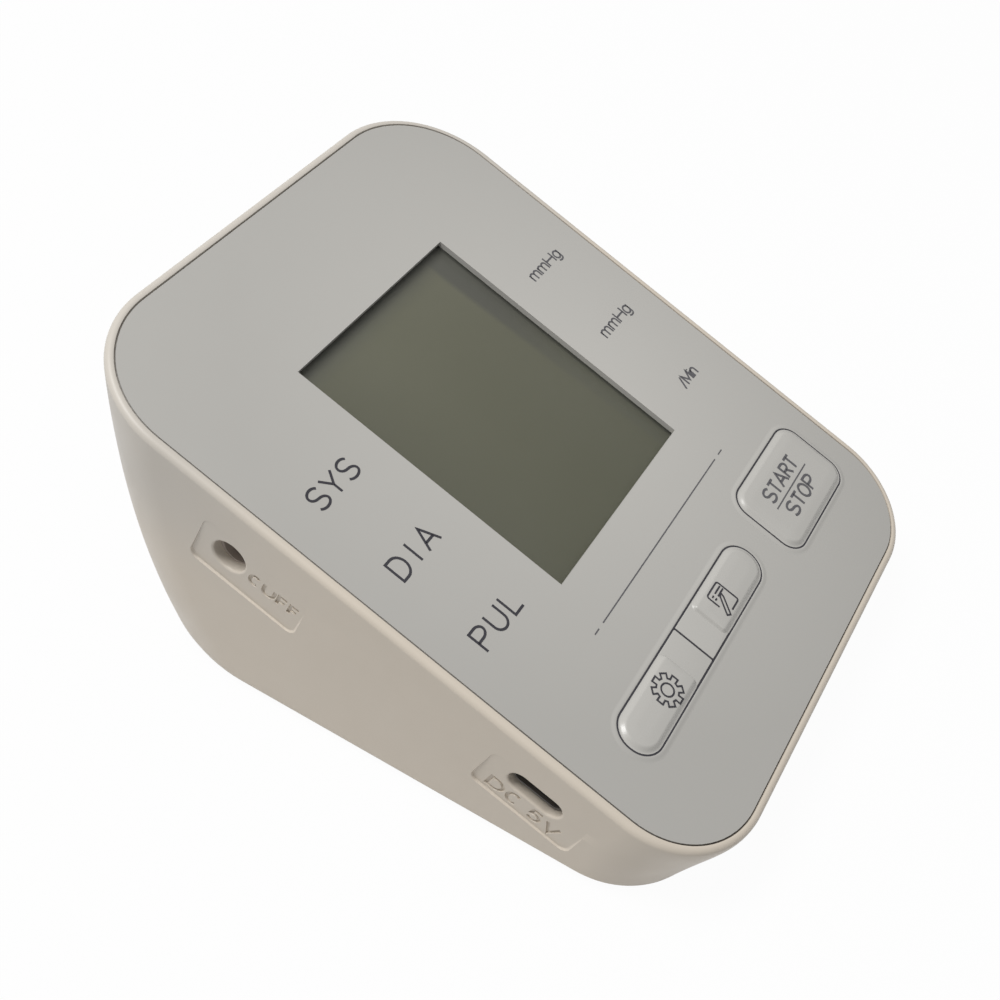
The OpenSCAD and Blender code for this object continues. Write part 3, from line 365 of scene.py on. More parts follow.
mats = {
    "housing": plastic("housing", housing_painted_cool_shade, rough=0.4, grain_mm=0.3, grain=0.3, depth=0.012,
                       specular=0.35),
    "base": plastic("base", srgb(202, 193, 181), rough=0.55, grain_mm=0.3, grain=0.35, vary=0.015),
    "panel": plastic("panel", panel_painted_sheen, rough=0.42, grain_mm=0.18, grain=0.12, depth=0.006),
    "seam": plastic("seam", seam_painted_shade, rough=0.6, grain=0.1),
    "key": plastic("key", srgb(183, 181, 176), rough=0.3, grain_mm=0.3, grain=0.08, depth=0.006, vary=0.008,
                   specular=0.5),
    "black_plastic": plastic("black_plastic", (0.014, 0.014, 0.016, 1), rough=0.45, vary=0.2),
    "white_plastic": plastic("white_plastic", srgb(226, 225, 220), rough=0.45, vary=0.02),
    "port_plastic": plastic("port_plastic", srgb(176, 165, 156), rough=0.5, vary=0.04),
    # The usb shell's metal as a dark, dull plastic: painted shade.
    "inlet_metal_painted_shade": plastic("inlet_metal_painted_shade", srgb(92, 88, 84), rough=0.45, grain=0.1, vary=0.06),
    "elastomer": plastic("elastomer", srgb(84, 84, 86), rough=0.8, grain_mm=0.5, grain=0.5, depth=0.03,
                         vary=0.08, specular=0.25),
    "foam": plastic("foam", srgb(78, 78, 82), rough=0.95, grain_mm=0.9, grain=0.9, depth=0.12, vary=0.15,
                    specular=0.1),
    "ink": ink("ink", srgb(62, 61, 66)),
    "ink_light": ink("ink_light", srgb(96, 95, 98)),
    "silicone": silicone(),
    "display": display(),
    "lens": lens(),
    "board": board(),
    "bright_metal": bright_metal(),
    "cell_wrap": cell_wrap("cell_wrap", 1),
    "cell_wrap_turned": cell_wrap("cell_wrap_turned", -1),
}


def coat(node, mat):
    """Gives a carried-over CAD node its material."""
    slots = frame["nodes"][node].data.materials
    slots.clear()
    slots.append(mats[mat].material)


for subpart in frame["record"]["subparts"]:
    coat(subpart["node"], subpart["material_slot"])
# The usb shell gets its copy of metal in painted shade.
coat("usb_shell", "inlet_metal_painted_shade")
coat("battery_cell_2", "cell_wrap_turned")
coat("battery_cell_4", "cell_wrap_turned")


# ---- Mesh helpers --------------------------------------------------------------------------------

def mix(a, b, t):
    return a + (b - a) * t


def steps(a, b, n):
    return [a + (b - a) * i / n for i in range(n + 1)]


def line_points(a, b, n):
    """Points from a to b in n equal steps."""
    return list(zip(steps(a[0], b[0], n), steps(a[1], b[1], n)))


def rad(a):
    return math.radians(a)


def soft(k):
    """Smooth step from 0 to 1."""
    k = max(0.0, min(1.0, k))
    return k * k * (3 - 2 * k)


def new_mesh(name, skin):
    mesh = bpy.data.meshes.new(name)
    mesh.from_pydata([tuple(v) for v in skin[0]], [], skin[1])
    return mesh


def new_object(name, data):
    ob = bpy.data.objects.new(name, data)
    bpy.context.scene.collection.objects.link(ob)
    return ob


def tidy(mesh):
    """Merges double points and turns the faces outwards."""
    b = bmesh.new()
    b.from_mesh(mesh)
    bmesh.ops.remove_doubles(b, verts=b.verts, dist=MERGE)
    bmesh.ops.recalc_face_normals(b, faces=b.faces)
    b.to_mesh(mesh)
    b.free()


def piece(name, mesh, mat, body, replaces=(), smooth=0):
    """Makes a mesh a piece on a body, smooth where its faces meet within that angle."""
    mesh.materials.clear()
    mesh.materials.append(mats[mat].material)
    if smooth:
        mesh.shade_smooth()
        mesh.set_sharp_from_angle(angle=rad(smooth))
    ob = new_object(name, mesh)
    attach(ob, body)
    for n in replaces:
        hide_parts(n)
    return ob


def add(name, skin, mat, body="console", replaces=(), smooth=0):
    mesh = new_mesh(name, skin)
    tidy(mesh)
    piece(name, mesh, mat, body, replaces, smooth)


def band(rings):
    """Open skin over rings of equal length, each a list of points."""
    size = len(rings[0])
    faces = [[k + i, k + (i + 1) % size, k + size + (i + 1) % size, k + size + i]
             for k in range(0, (len(rings) - 1) * size, size) for i in range(size)]
    return [p for r in rings for p in r], faces


def loft(rings):
    """Closed skin over them, with a face at either end."""
    verts, faces = band(rings)
    size = len(rings[0])
    faces.append(list(range(size))[::-1])
    faces.append(list(range(len(verts) - size, len(verts))))
    return verts, faces


def join(parts):
    verts, faces = [], []
    for v, f in parts:
        n = len(verts)
        verts += list(v)
        faces += [[i + n for i in q] for q in f]
    return verts, faces


def round_box(x0, x1, y0, y1, radii, inset=0.0, segs=12, side=1):
    """Rounded rectangle from the NE corner, anticlockwise; radii are NE, NW, SW, SE.

    A side has that many edges, and a corner has segs.
    """
    corners = ((x1, y1, -1, -1, 0), (x0, y1, 1, -1, 90), (x0, y0, 1, 1, 180), (x1, y0, -1, 1, 270))
    turns = []
    for (cx, cy, sx, sy, start), r in zip(corners, radii):
        k, q = max(r, inset), max(r - inset, 0.0)
        turns.append([(cx + sx * k + q * math.cos(rad(a)), cy + sy * k + q * math.sin(rad(a)))
                      for a in steps(start, start + 90, segs)])
    pts = []
    for turn, following in zip(turns, turns[1:] + turns[:1]):
        pts += turn + line_points(turn[-1], following[0], side)[1:-1]
    return pts


def grown_box(box, radius, grow, segs=12, side=4):
    x0, x1, y0, y1 = box
    return round_box(x0 - grow, x1 + grow, y0 - grow, y1 + grow, [radius + grow] * 4, 0, segs, side)


def centred(x, y, w, h):
    return (x - w / 2, x + w / 2, y - h / 2, y + h / 2)


def flat(points, n):
    """Points of the face plane at height n."""
    return [face(p[0], p[1], n) for p in points]


def cut(ob, cutters):
    """Applies Boolean differences to an object that isn't a piece yet, and returns its new mesh.

    A cutter is a skin, and whether it may cross itself.
    """
    for i, (skin, crossing) in enumerate(cutters):
        mesh = new_mesh("cutter%d" % i, skin)
        tidy(mesh)
        cutter = new_object("cutter%d" % i, mesh)
        cutting = ob.modifiers.new("cut%d" % i, "BOOLEAN")
        cutting.operation, cutting.solver = "DIFFERENCE", "EXACT"
        cutting.object, cutting.use_self = cutter, crossing
        bpy.context.view_layer.update()
        done = bpy.data.meshes.new_from_object(ob.evaluated_get(bpy.context.evaluated_depsgraph_get()))
        ob.modifiers.clear()
        ob.data = done
        bpy.data.objects.remove(cutter)
        bpy.data.meshes.remove(mesh)
    mesh = ob.data
    bpy.data.objects.remove(ob)
    return mesh


# ---- Stroke lettering ----------------------------------------------------------------------------

def arc(cx, cy, rx, ry, a0, a1, n=14):
    return [(cx + rx * math.cos(rad(a)), cy + ry * math.sin(rad(a))) for a in steps(a0, a1, n)]


# Each glyph: width over cap height, and its strokes on a box of 1 by 1 (closed strokes end with None)
GLYPHS = {
    "S": (0.78, [arc(0.5, 0.745, 0.46, 0.255, 28, 270) + arc(0.5, 0.245, 0.5, 0.245, 90, -152)[1:]]),
    "Y": (0.82, [[(0, 1), (0.5, 0.46), (1, 1)], [(0.5, 0.46), (0.5, 0)]]),
    "D": (0.78, [[(0, 0), (0, 1)] + arc(0.42, 0.5, 0.58, 0.5, 90, -90) + [None]]),
    "I": (0.0, [[(0, 0), (0, 1)]]),
    "A": (0.86, [[(0, 0), (0.5, 1), (1, 0)], [(0.17, 0.34), (0.83, 0.34)]]),
    "P": (0.68, [[(0, 0), (0, 1)] + arc(0.5, 0.735, 0.5, 0.265, 90, -90) + [(0, 0.47)]]),
    "U": (0.74, [[(0, 1)] + arc(0.5, 0.38, 0.5, 0.38, 180, 360) + [(1, 1)]]),
    "L": (0.6, [[(0, 1), (0, 0), (1, 0)]]),
    "R": (0.62, [[(0, 0), (0, 1)] + arc(0.5, 0.745, 0.5, 0.255, 90, -90) + [(0, 0.49)],
                 [(0.52, 0.49), (1, 0)]]),
    "T": (0.66, [[(0, 1), (1, 1)], [(0.5, 1), (0.5, 0)]]),
    "O": (0.74, [arc(0.5, 0.5, 0.5, 0.5, 0, 360, 28)[:-1] + [None]]),
    "C": (0.68, [arc(0.5, 0.5, 0.5, 0.5, 52, 308, 22)]),
    "F": (0.54, [[(0, 0), (0, 1), (1, 1)], [(0, 0.52), (0.86, 0.52)]]),
    "V": (0.7, [[(0, 1), (0.5, 0), (1, 1)]]),
    "5": (0.58, [[(0.92, 1), (0.14, 1), (0.06, 0.56)] + arc(0.46, 0.32, 0.52, 0.32, 128, -150, 18)]),
    "m": (0.86, [[(0, 0), (0, 0.74)], [(0, 0.5)] + arc(0.25, 0.48, 0.25, 0.26, 180, 0, 10) + [(0.5, 0)],
                 [(0.5, 0.48)] + arc(0.75, 0.48, 0.25, 0.26, 180, 0, 10) + [(1, 0)]]),
    "n": (0.46, [[(0, 0), (0, 0.74)], [(0, 0.48)] + arc(0.5, 0.48, 0.5, 0.26, 180, 0, 10) + [(1, 0)]]),
    "i": (0.0, [[(0, 0), (0, 0.72)], [(0, 0.9), (0, 1.0)]]),
    "H": (0.8, [[(0, 0), (0, 1)], [(1, 0), (1, 1)], [(0, 0.52), (1, 0.52)]]),
    "M": (0.8, [[(0, 0), (0, 1), (0.5, 0.2), (1, 1), (1, 0)]]),
    "g": (0.52, [arc(0.5, 0.37, 0.5, 0.37, 0, 360, 20)[:-1] + [None],
                 [(1, 0.74), (1, 0.0)] + arc(0.5, -0.05, 0.5, 0.22, 0, -150, 10)]),
    "/": (0.42, [[(0, -0.06), (1, 1.04)]]),
}
SPACE = 0.35


def lettering(word, x0, x1, y0, y1, gap):
    """Strokes of a word that fills the box x0..x1 by y0..y1 (cap height), as (points, closed)."""
    pos, glyphs = 0.0, []
    for ch in word:
        if ch == " ":
            pos += SPACE
            continue
        w, strokes = GLYPHS[ch]
        glyphs.append((pos, w, strokes))
        pos += w + gap
    k = (x1 - x0) / (pos - gap)
    return [([(x0 + (at + p[0] * w) * k, mix(y0, y1, p[1])) for p in s if p], s[-1] is None)
            for at, w, strokes in glyphs for s in strokes]


def densify(points, closed, step):
    """The same line with no edge longer than about step, and no edge of no length."""
    pts = points + [points[0]] if closed else points
    out = [pts[0]]
    for a, b in zip(pts, pts[1:]):
        length = math.hypot(b[0] - a[0], b[1] - a[1])
        if length < 1e-6:
            continue
        out += line_points(a, b, max(1, int(length / step)))[1:]
    return out[:-1] if closed else out


def ribbon(points, width, closed):
    """Two rails of a flat stroke of that width along the points, mitred at its corners."""
    n = len(points)
    left, right = [], []
    for i, p in enumerate(points):
        a = points[(i - 1) % n] if (closed or i > 0) else p
        b = points[(i + 1) % n] if (closed or i < n - 1) else p
        d0 = (p[0] - a[0], p[1] - a[1])
        d1 = (b[0] - p[0], b[1] - p[1])
        l0, l1 = math.hypot(*d0), math.hypot(*d1)
        if l0 < 1e-9:
            d0, l0 = d1, l1
        if l1 < 1e-9:
            d1, l1 = d0, l0
        u0, u1 = (d0[0] / l0, d0[1] / l0), (d1[0] / l1, d1[1] / l1)
        nx, ny = -(u0[1] + u1[1]), u0[0] + u1[0]
        length = math.hypot(nx, ny) or 1.0
        nx, ny = nx / length, ny / length
        k = min(1.0 / max(0.2, nx * -u0[1] + ny * u0[0]), 2.2) * width / 2
        left.append((p[0] + nx * k, p[1] + ny * k))
        right.append((p[0] - nx * k, p[1] - ny * k))
    return left, right


def printed(strokes, width, place):
    """Flat strokes laid on a surface by place(x, y)."""
    parts = []
    for pts, closed in strokes:
        pts = densify(pts, closed, PRINT_STEP)
        left, right = ribbon(pts, width, closed)
        n = len(pts)
        verts = [place(*p) for p in left + right]
        faces = [[i, n + i, n + (i + 1) % n, (i + 1) % n] for i in range(n if closed else n - 1)]
        parts.append((verts, faces))
    return join(parts)


def grooves(strokes, top_w, low_w, place, top, low):
    """Closed prisms for engraving: wider at the surface than at the bottom."""
    parts = []
    for pts, closed in strokes:
        pts = densify(pts, closed, GROOVE_STEP)
        top_rails, low_rails = ribbon(pts, top_w, closed), ribbon(pts, low_w, closed)
        n = len(pts)
        rails = ((top_rails[0], top), (top_rails[1], top), (low_rails[1], low), (low_rails[0], low))
        verts = [place(p[0], p[1], out) for rail, out in rails for p in rail]
        faces = []
        for i in range(n if closed else n - 1):
            j = (i + 1) % n
            faces += [[a * n + i, b * n + i, b * n + j, a * n + j]
                      for a, b in ((0, 1), (1, 2), (2, 3), (3, 0))]
        if not closed:
            faces += [[0, n, 2 * n, 3 * n], [n - 1, 4 * n - 1, 3 * n - 1, 2 * n - 1]]
        parts.append((verts, faces))
    return join(parts)


# ---- Housing -------------------------------------------------------------------------------------

def outline(t, inset):
    """Outline of the wall from the base (t = 0) to the rim (t = 1)."""
    w, turn = 1 - (1 - t) ** WALL_SWELL, 1 - (1 - t) ** CORNER_SWELL
    rear, front = mix(REAR_R, RIM_REAR_R, turn), mix(FRONT_R, RIM_FRONT_R, turn)
    y0, y1 = mix(-BASE_FRONT, -FACE_LEN / 2, w), mix(BASE_REAR, FACE_LEN / 2, w)
    return round_box(-BODY_W / 2, BODY_W / 2, y0, y1, (rear, rear, front, front), inset, CORNER_SEGS)


def panel_outline(grow):
    x, y = BODY_W / 2 - RIM_W + grow, FACE_LEN / 2 - RIM_END_W + grow
    rear, front = RIM_REAR_R - PANEL_INSET + grow, RIM_FRONT_R - PANEL_INSET + grow
    return round_box(-x, x, -y, y, (rear, rear, front, front), 0, CORNER_SEGS)


def base_ring(inset, z):
    return [Vector((p[0], p[1], z)) * MM for p in outline(0, inset)]


def body_ring(t, inset, n):
    """Ring that turns from level at the base to the slope of the face, n over it, at the rim."""
    return [Vector((p[0], p[1] * mix(1, COS, t) + t * (FACE_Y0 - n * SIN),
                    mix(BASE_Z, FACE_H + p[1] * SIN + n * COS, t))) * MM for p in outline(t, inset)]


def rim_ring(inset, n):
    return flat(outline(1, inset), n)


def recess_ring(k, n):
    """Ring between the rim's rounded edge (k = 0) and the panel's recess (k = 1)."""
    pairs = zip(outline(1, RIM_ROUND), panel_outline(PANEL_GAP))
    return [face(mix(p[0], q[0], k), mix(p[1], q[1], k), n) for p, q in pairs]


def body_outside():
    foot = [base_ring(EDGE_R * (1 - math.sin(rad(a))), BASE_Z + EDGE_R * (1 - math.cos(rad(a))))
            for a in steps(0, 80, 8)]
    wall = [body_ring(t, 0, CREST) for t in steps(0.04, 0.98, 47)]
    rim = [rim_ring(RIM_ROUND * (1 - math.cos(rad(a))), CREST + RIM_ROUND * math.sin(rad(a)))
           for a in steps(0, 90, 12)]
    recess = [recess_ring(0.5, RIM_RISE), recess_ring(0.9, RIM_RISE - 0.04), recess_ring(1, RIM_RISE - 0.14),
              recess_ring(1, DECK_TOP)]
    return loft(foot + wall + rim + recess)


def body_inside():
    foot = [base_ring(WALL, BASE_Z - 1), base_ring(WALL, BASE_Z + 0.01)]
    return loft(foot + [body_ring(t, WALL, DECK_LOW) for t in steps(0.1, 1.0, 9)])


def deck_opening(x, v, w, h, r, grow=0.0, segs=10):
    pts = grown_box(centred(x, v, w, h), r, grow, segs, 1)
    return loft([flat(pts, DECK_LOW - 1), flat(pts, DECK_TOP + 1)])


def pad_frame(pad):
    """Places (v, distance down from the pad's flush edge, distance out of the pad) in the face frame.

    Also gives the distance down for an n.
    """
    a = math.atan(PAD_DEPTH / (PORT_TOP - pad[2]))
    ca, sa = math.cos(a), math.sin(a)
    mid = (pad[0] + pad[1]) / 2

    def place(v, down, out):
        x = -BODY_W / 2 - out * ca + down * sa + PAD_LEAN * (v - mid)
        return face(x, v, PORT_TOP - down * ca - out * sa)

    def drop(n):
        return (PORT_TOP - n) / ca
    return place, drop


# Rings of a pad: growth at the sides and the far end, growth at the near end, distance out of the pad
PAD_RINGS = ((-0.12, -0.2, 0.0), (-0.02, -0.12, 0.02), (0.02, 0.0, 0.08), (0.05, 0.16, 0.2),
             (0.15, 0.34, 0.36), (0.5, 0.9, 0.9))


def port_pad(pad):
    place, drop = pad_frame(pad)
    rings = []
    for grow, near, out in PAD_RINGS:
        pts = round_box(pad[0] - near, pad[1] + grow, -grow, drop(pad[2]) + grow, [PAD_R + grow] * 4, 0, 8)
        rings.append([place(p[0], p[1], out) for p in pts])
    return loft(rings)


def mouth(rounding):
    """(growth, distance out of the pad) pairs of a hole's mouth with a rounded lip."""
    turn = [(rounding * (1 - math.sin(rad(a))), -rounding * (1 - math.cos(rad(a)))) for a in steps(0, 90, 6)]
    return [(rounding, 1.0)] + turn + [(0.0, -WALL - 1)]


def cuff_hole():
    place, drop = pad_frame(CUFF_PAD)
    middle = drop(CUFF_N)
    rings = []
    for g, out in mouth(CUFF_LIP):
        r = CUFF_R + g
        rings.append([place(CUFF_V + r * math.cos(rad(t)), middle + r * math.sin(rad(t)), out)
                      for t in range(0, 360, 6)])
    return loft(rings)


def usb_hole():
    place, drop = pad_frame(USB_PAD)
    slot = centred(USB_V, drop(USB_N), USB_W, USB_H)
    return loft([[place(p[0], p[1], out) for p in grown_box(slot, USB_R, g, 10, 1)]
                 for g, out in mouth(USB_LIP)])


def engraved(word, pad, v0, v1, n0, n1):
    """A word on a pad: it reads towards -v with its top towards +n."""
    place, drop = pad_frame(pad)
    strokes = lettering(word, -v0, -v1, n0, n1, ENGRAVED_GAP)

    def turned(x, y, out):
        return place(-x, drop(y), out)
    return grooves(strokes, GROOVE_TOP_W, GROOVE_LOW_W, turned, GROOVE_TOP, GROOVE_LOW)


def make_housing():
    raw = new_mesh("housing", body_outside())
    tidy(raw)
    room = 2 * GLASS_PLAY
    openings = join([deck_opening(WIN_X, WIN_V, GLASS_W + room, GLASS_H + room, GLASS_R, 0, 1),
                     deck_opening(START_X, KEY_V, START_W, START_L, START_R, KEY_GAP),
                     deck_opening(PILL_X, KEY_V, PILL_W, PILL_L, PILL_R, KEY_GAP)])
    pads = join([port_pad(CUFF_PAD), port_pad(USB_PAD)])
    holes = join([cuff_hole(), usb_hole()])
    words = join([engraved("CUFF", CUFF_PAD, *CUFF_WORD),
                  engraved("DC 5V", USB_PAD, *USB_WORD)])
    mesh = cut(new_object("housing_raw", raw),
             [(body_inside(), False), (openings, False), (pads, False), (holes, False), (words, True)])
    mesh.name = "housing"
    housing = piece("housing", mesh, "housing", "console", ["upper_housing"], 30.0)
    housing.modifiers.new("weights", "WEIGHTED_NORMAL").keep_sharp = True


make_housing()


# ---- Keys ----------------------------------------------------------------------------------------

def key_height(d):
    """Height of a key over the panel at the distance d from its edge."""
    return LIP_RISE + (KEY_RISE - LIP_RISE) * soft(d / EDGE) + KEY_CROWN * soft(d / CROWN_REACH)


def key_pad(x0, x1, y0, y1, radii, inner=0):
    """Raised pad of a key; inner is -1 or 1 where one end is steeper."""
    rings = [flat(round_box(x0, x1, y0, y1, radii, 0, 10, 4), KEY_PAD_LOW)]
    for d in steps(0, FINE, 12) + steps(FINE, CROWN_REACH, 9)[1:]:
        k = d * (1 - STEEP)
        west, east = x0 - (k if inner < 0 else 0), x1 + (k if inner > 0 else 0)
        rings.append(flat(round_box(west, east, y0, y1, radii, d, 10, 4), key_height(d)))
    return loft(rings)


def key_foot(shank, flange):
    """Rings of the flange under the deck and of the shank's foot."""
    low, high = KEY_FLOOR, KEY_FLOOR + FLANGE_T
    return [flat(flange, low), flat(flange, high), flat(shank, high)]


def start_key(box):
    shank = round_box(*box, [START_R] * 4, 0, 10)
    flange = round_box(*box, [START_R] * 4, -FLANGE, 10)
    skin = join([key_pad(*box, [START_R] * 4), loft(key_foot(shank, flange) + [flat(shank, KEY_PAD_LOW)])])
    add("start_key_pad", skin, "key", "start_key", ["start_stop_key"], 40.0)


def small_key(side, name, body, node):
    """Makes one half of the pill, on side -1 or 1, and returns the box of its raised pad."""
    y0, y1 = KEY_V - PILL_L / 2, KEY_V + PILL_L / 2
    mid, end = PILL_X + side * KEY_GAP / 2, PILL_X + side * PILL_W / 2
    inner = end - side * KEY_PAD_LEN
    half = (min(mid, end), max(mid, end), y0, y1)
    pad = (min(inner, end), max(inner, end), y0, y1)

    def radii(near):
        return [PILL_R, near, near, PILL_R] if side > 0 else [near, PILL_R, PILL_R, near]

    shank = round_box(*half, radii(INNER_R), 0, 10)
    west, east = (FLANGE, 0) if side < 0 else (0, FLANGE)
    flange_radii = [r + (FLANGE if r == PILL_R else 0) for r in radii(INNER_R)]
    flange = round_box(half[0] - west, half[1] + east, y0 - FLANGE, y1 + FLANGE, flange_radii, 0, 10)
    rings = key_foot(shank, flange)
    for a in steps(0, 90, 4):
        top = round_box(*half, radii(INNER_R), LEDGE_EDGE * (1 - math.cos(rad(a))), 10)
        rings.append(flat(top, LIP_RISE - LEDGE_EDGE + LEDGE_EDGE * math.sin(rad(a))))
    skin = join([loft(rings), key_pad(*pad, radii(PAD_INNER_R), -side)])
    add(name, skin, "key", body, [node], 40.0)
    return pad


def film_lip(name, box, radius):
    """The film round a key opening: it stands up softly and turns down into the gap."""
    rise = [(LIP_W - LIP_SLOPE_W * k, LIP_START + LIP_RISE * soft(k)) for k in steps(0, 1, 8)]
    turn = [(LIP_TURN, LIP_RISE), (0.0, LIP_RISE - LIP_TURN), (0.0, KEY_PAD_LOW)]
    rings = [flat(grown_box(box, radius, KEY_GAP + d), n) for d, n in rise + turn]
    add(name, band(rings), "panel", "console", (), 50.0)


def gap_line(name, box, radius):
    """Dark bottom of the narrow gap between a key and the film."""
    rings = [flat(grown_box(box, radius, grow), LIP_RISE - GAP_DROP) for grow in (0.01, KEY_GAP + 0.02)]
    add(name, band(rings), "ink")


start_box = centred(START_X, KEY_V, START_W, START_L)
pill_box = centred(PILL_X, KEY_V, PILL_W, PILL_L)
start_key(start_box)
settings_pad = small_key(-1, "settings_key_pad", "settings_button", "settings_key")
memory_pad = small_key(1, "memory_key_pad", "memory_button", "memory_key")
film_lip("film_lip_start", start_box, START_R)
film_lip("film_lip_pair", pill_box, PILL_R)
gap_line("gap_line_start", start_box, START_R)
gap_line("gap_line_pair", pill_box, PILL_R)
west, east = PILL_X - MIDDLE_GAP_W / 2, PILL_X + MIDDLE_GAP_W / 2
middle_gap = [(west, pill_box[2]), (east, pill_box[2]), (east, pill_box[3]), (west, pill_box[3])]
add("gap_line_middle", (flat(middle_gap, LIP_RISE - MIDDLE_GAP_DROP), [[0, 1, 2, 3]]), "ink")


# ---- Panel's edges -------------------------------------------------------------------------------

# Floor of the gap between the panel and the rim, in painted shade that deepens towards the front.
add("panel_seam", band([flat(panel_outline(SEAM_OFF), SEAM_N), recess_ring(1.0, SEAM_N)]), "seam")

bevel = frame["nodes"]["face_panel"].modifiers.new("soft_edges", "BEVEL")
bevel.limit_method, bevel.angle_limit = "ANGLE", rad(50)
bevel.width, bevel.segments, bevel.harden_normals = PANEL_BEVEL * MM, 3, True


# ---- Printing ------------------------------------------------------------------------------------

def on_panel(x, v):
    return face(x, v, PANEL_PRINT_LIFT)


def on_key(box, inner=0):
    """Places a print on a raised key, over its place on the panel as the camera sees it."""
    low, high = (STEEP if inner < 0 else 1), (STEEP if inner > 0 else 1)

    def place(x, v):
        n = KEY_RISE + KEY_CROWN
        for _ in range(3):
            a, b = seen(x, v, n)
            n = key_height(min((a - box[0]) / low, (box[1] - a) / high, b - box[2], box[3] - b))
        return face(*seen(x, v, n + KEY_PRINT_LIFT), n + KEY_PRINT_LIFT)
    return place


def printing(name, strokes, width, mat="ink", place=on_panel, body="console"):
    add(name, printed(strokes, width, place), mat, body)


# Name, word, box (x from and to, v from and to), gap between letters, stroke, ink
PANEL_LEGENDS = (
    ("legend_sys", "SYS", (-38.4, -28.0, 17.6, 21.2), 0.25, 0.44, "ink"),
    ("legend_dia", "DIA", (-38.8, -28.4, 1.95, 5.6), 0.6, 0.44, "ink"),
    ("legend_pul", "PUL", (-39.1, -28.5, -13.9, -10.2), 0.36, 0.44, "ink"),
    ("legend_mmhg_upper", "mmHg", (28.9, 38.6, 18.5, 20.6), 0.19, 0.34, "ink_light"),
    ("legend_mmhg_lower", "mmHg", (29.1, 38.9, 2.4, 4.6), 0.19, 0.34, "ink_light"),
    ("legend_per_minute", "/Min", (31.7, 37.1, -14.0, -11.9), 0.16, 0.38, "ink_light"),
)
START_LEGENDS = (
    ("legend_start", "START", (22.6, 34.7, -38.1, -35.45), 0.2, 0.47, "ink_light"),
    ("legend_stop", "STOP", (23.8, 34.0, -42.7, -40.1), 0.2, 0.47, "ink_light"),
)
RULE_V, RULE_X = -25.3, ((-24.4, -23.0), (23.5, 25.0), (-21.6, 22.1))
START_BAR_V, START_BAR_X = -39.13, (22.2, 35.8)
RULE_STROKE, BAR_STROKE, ICON_STROKE = 0.22, 0.24, 0.3


def level_line(x0, x1, v):
    return [(x0, v), (x1, v)], False


for name, word, box, gap, stroke, mat in PANEL_LEGENDS:
    printing(name, lettering(word, *box, gap), stroke, mat)
printing("panel_rule", [level_line(x0, x1, RULE_V) for x0, x1 in RULE_X], RULE_STROKE, "ink_light")

on_start = on_key(start_box)
for name, word, box, gap, stroke, mat in START_LEGENDS:
    printing(name, lettering(word, *box, gap), stroke, mat, on_start, "start_key")
printing("legend_start_bar", [level_line(*START_BAR_X, START_BAR_V)], BAR_STROKE, "ink_light", on_start,
         "start_key")


def gear(cx, cy, tip, root, teeth=8):
    """Closed outline of a gear: each tooth's flanks, then the root's arc to the next."""
    pts = []
    for k in range(teeth):
        a = 90 + 360 * k / teeth
        turns = [(-15.0, root), (-11.5, tip), (11.5, tip), (15.0, root), (20.0, root), (25.0, root)]
        pts += [(cx + r * math.cos(rad(a + da)), cy + r * math.sin(rad(a + da))) for da, r in turns]
    return pts


def notepad(x0, x1, y0, y1, r):
    """Strokes of a page, open at its lower left corner, with two rows of lines and a pen over it."""
    page = [(x0, y0 + 2.0)] + arc(x0 + r, y1 - r, r, r, 180, 90, 5) + arc(x1 - r, y1 - r, r, r, 90, 0, 5)
    page += arc(x1 - r, y0 + r, r, r, 0, -90, 5) + [(x0 + 1.3, y0)]
    rows = [level_line(a, b, y1 - drop) for drop in (0.85, 1.5)
            for a, b in ((x0 + 0.55, x0 + 1.1), (x0 + 1.6, x1 - 0.3))]
    pen = [(-0.3, 0.25), (0.25, -0.2), (2.3, 2.3), (2.6, 3.1), (1.8, 2.75)]
    return [(page, False)] + rows + [([(x0 + x, y0 + y) for x, y in pen], True)]


GEAR_X, GEAR_V, GEAR_TIP, GEAR_ROOT, GEAR_HOLE = -23.86, -39.15, 2.8, 1.95, 1.12
NOTEPAD = (-4.0, -0.1, -41.35, -36.75)
gear_icon = [(gear(GEAR_X, GEAR_V, GEAR_TIP, GEAR_ROOT), True),
             (arc(GEAR_X, GEAR_V, GEAR_HOLE, GEAR_HOLE, 0, 360, 24)[:-1], True)]
printing("icon_gear", gear_icon, ICON_STROKE, "ink", on_key(settings_pad, 1), "settings_button")
printing("icon_notes", notepad(*NOTEPAD, 0.4), ICON_STROKE, "ink", on_key(memory_pad, -1), "memory_button")


# ---- Light, floor and camera ---------------------------------------------------------------------

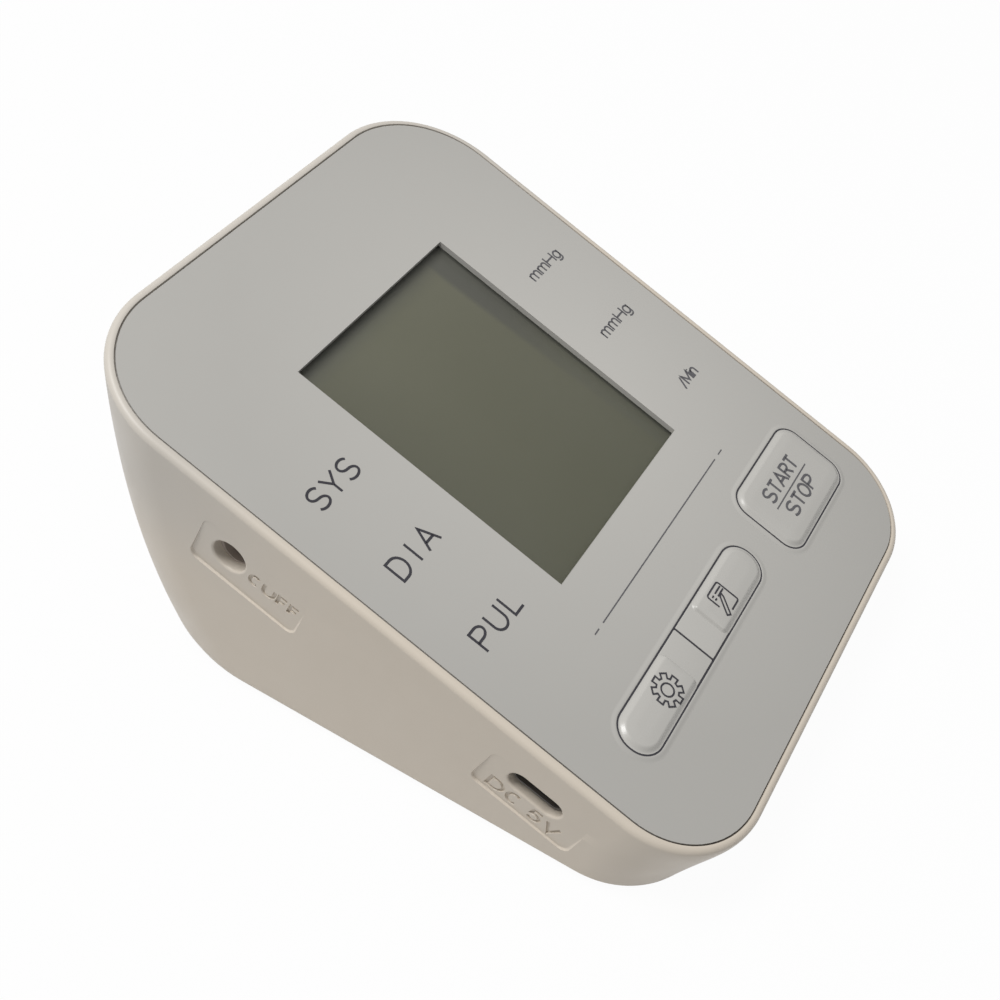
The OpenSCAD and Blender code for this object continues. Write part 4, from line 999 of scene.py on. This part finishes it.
def make_floor():
    """Pale floor that the camera, reflections and clear pieces see as nearly white."""
    corners = [(x * FLOOR_HALF, y * FLOOR_HALF, 0) for x, y in ((-1, -1), (1, -1), (1, 1), (-1, 1))]
    square = (corners, [[0, 1, 2, 3]])
    floor = new_object("floor", new_mesh("floor", square))
    m = Mat("floor")
    m.set(Base_Color=(FLOOR_GREY, FLOOR_GREY, FLOOR_GREY, 1), Roughness=0.9, Specular_IOR_Level=0.1)
    glow = m.node("ShaderNodeEmission")
    ray = m.node("ShaderNodeLightPath").outputs
    bent = m.math("MAXIMUM", ray["Is Glossy Ray"], ray["Is Transmission Ray"])
    looking = m.math("MAXIMUM", ray["Is Camera Ray"], bent)
    mixer = m.node("ShaderNodeMixShader")
    m.put(mixer.inputs[0], m.math("MULTIPLY", looking, FLOOR_WHITE))
    m.put(mixer.inputs[1], m.shader.outputs[0])
    m.put(mixer.inputs[2], glow.outputs[0])
    m.put(m.output.inputs["Surface"], mixer.outputs[0])
    floor.data.materials.append(m.material)


def make_world():
    """Soft light from all round, white where the camera or a clear piece looks past the floor."""
    world = bpy.data.worlds.new("world")
    bpy.context.scene.world = world
    world.use_nodes = True
    nodes, links = world.node_tree.nodes, world.node_tree.links
    sky = nodes["Background"]
    sky.inputs["Color"].default_value = (1, 1, 1, 1)
    ray = nodes.new("ShaderNodeLightPath")
    looking = nodes.new("ShaderNodeMath")
    looking.operation = "MAXIMUM"
    links.new(ray.outputs["Is Camera Ray"], looking.inputs[0])
    links.new(ray.outputs["Is Transmission Ray"], looking.inputs[1])
    strength = nodes.new("ShaderNodeMapRange")
    links.new(looking.outputs[0], strength.inputs["Value"])
    strength.inputs["To Min"].default_value = FILL
    strength.inputs["To Max"].default_value = 1.0
    links.new(strength.outputs[0], sky.inputs["Strength"])


def make_lamp():
    """The key light: a large round lamp behind the console, high up."""
    data = bpy.data.lights.new("key_lamp", "AREA")
    data.shape, data.size, data.energy = "DISK", LAMP_SIZE, LAMP_POWER
    lamp = new_object("key_lamp", data)
    lamp.location = LAMP_AT
    lamp.rotation_euler = (Vector(LAMP_TARGET) - Vector(LAMP_AT)).to_track_quat("-Z", "Y").to_euler()


def make_camera():
    """Camera at the photograph's angle, from its fitted directions."""
    cam = new_object("camera", bpy.data.cameras.new("camera"))
    cam.data.sensor_width, cam.data.lens = SENSOR, LENS
    cam.data.clip_start, cam.data.clip_end = 0.01, 20.0
    right, back = Vector(CAMERA_RIGHT), Vector(CAMERA_BACK)
    back.normalize()
    right = (right - back * right.dot(back)).normalized()
    stand = Matrix((right, back.cross(right), back)).transposed().to_4x4()
    stand.translation = [c * MM for c in CAMERA_AT]
    cam.matrix_world = stand
    bpy.context.scene.camera = cam


make_floor()
make_world()
make_lamp()
make_camera()
bpy.context.scene.view_settings.view_transform = "Standard"
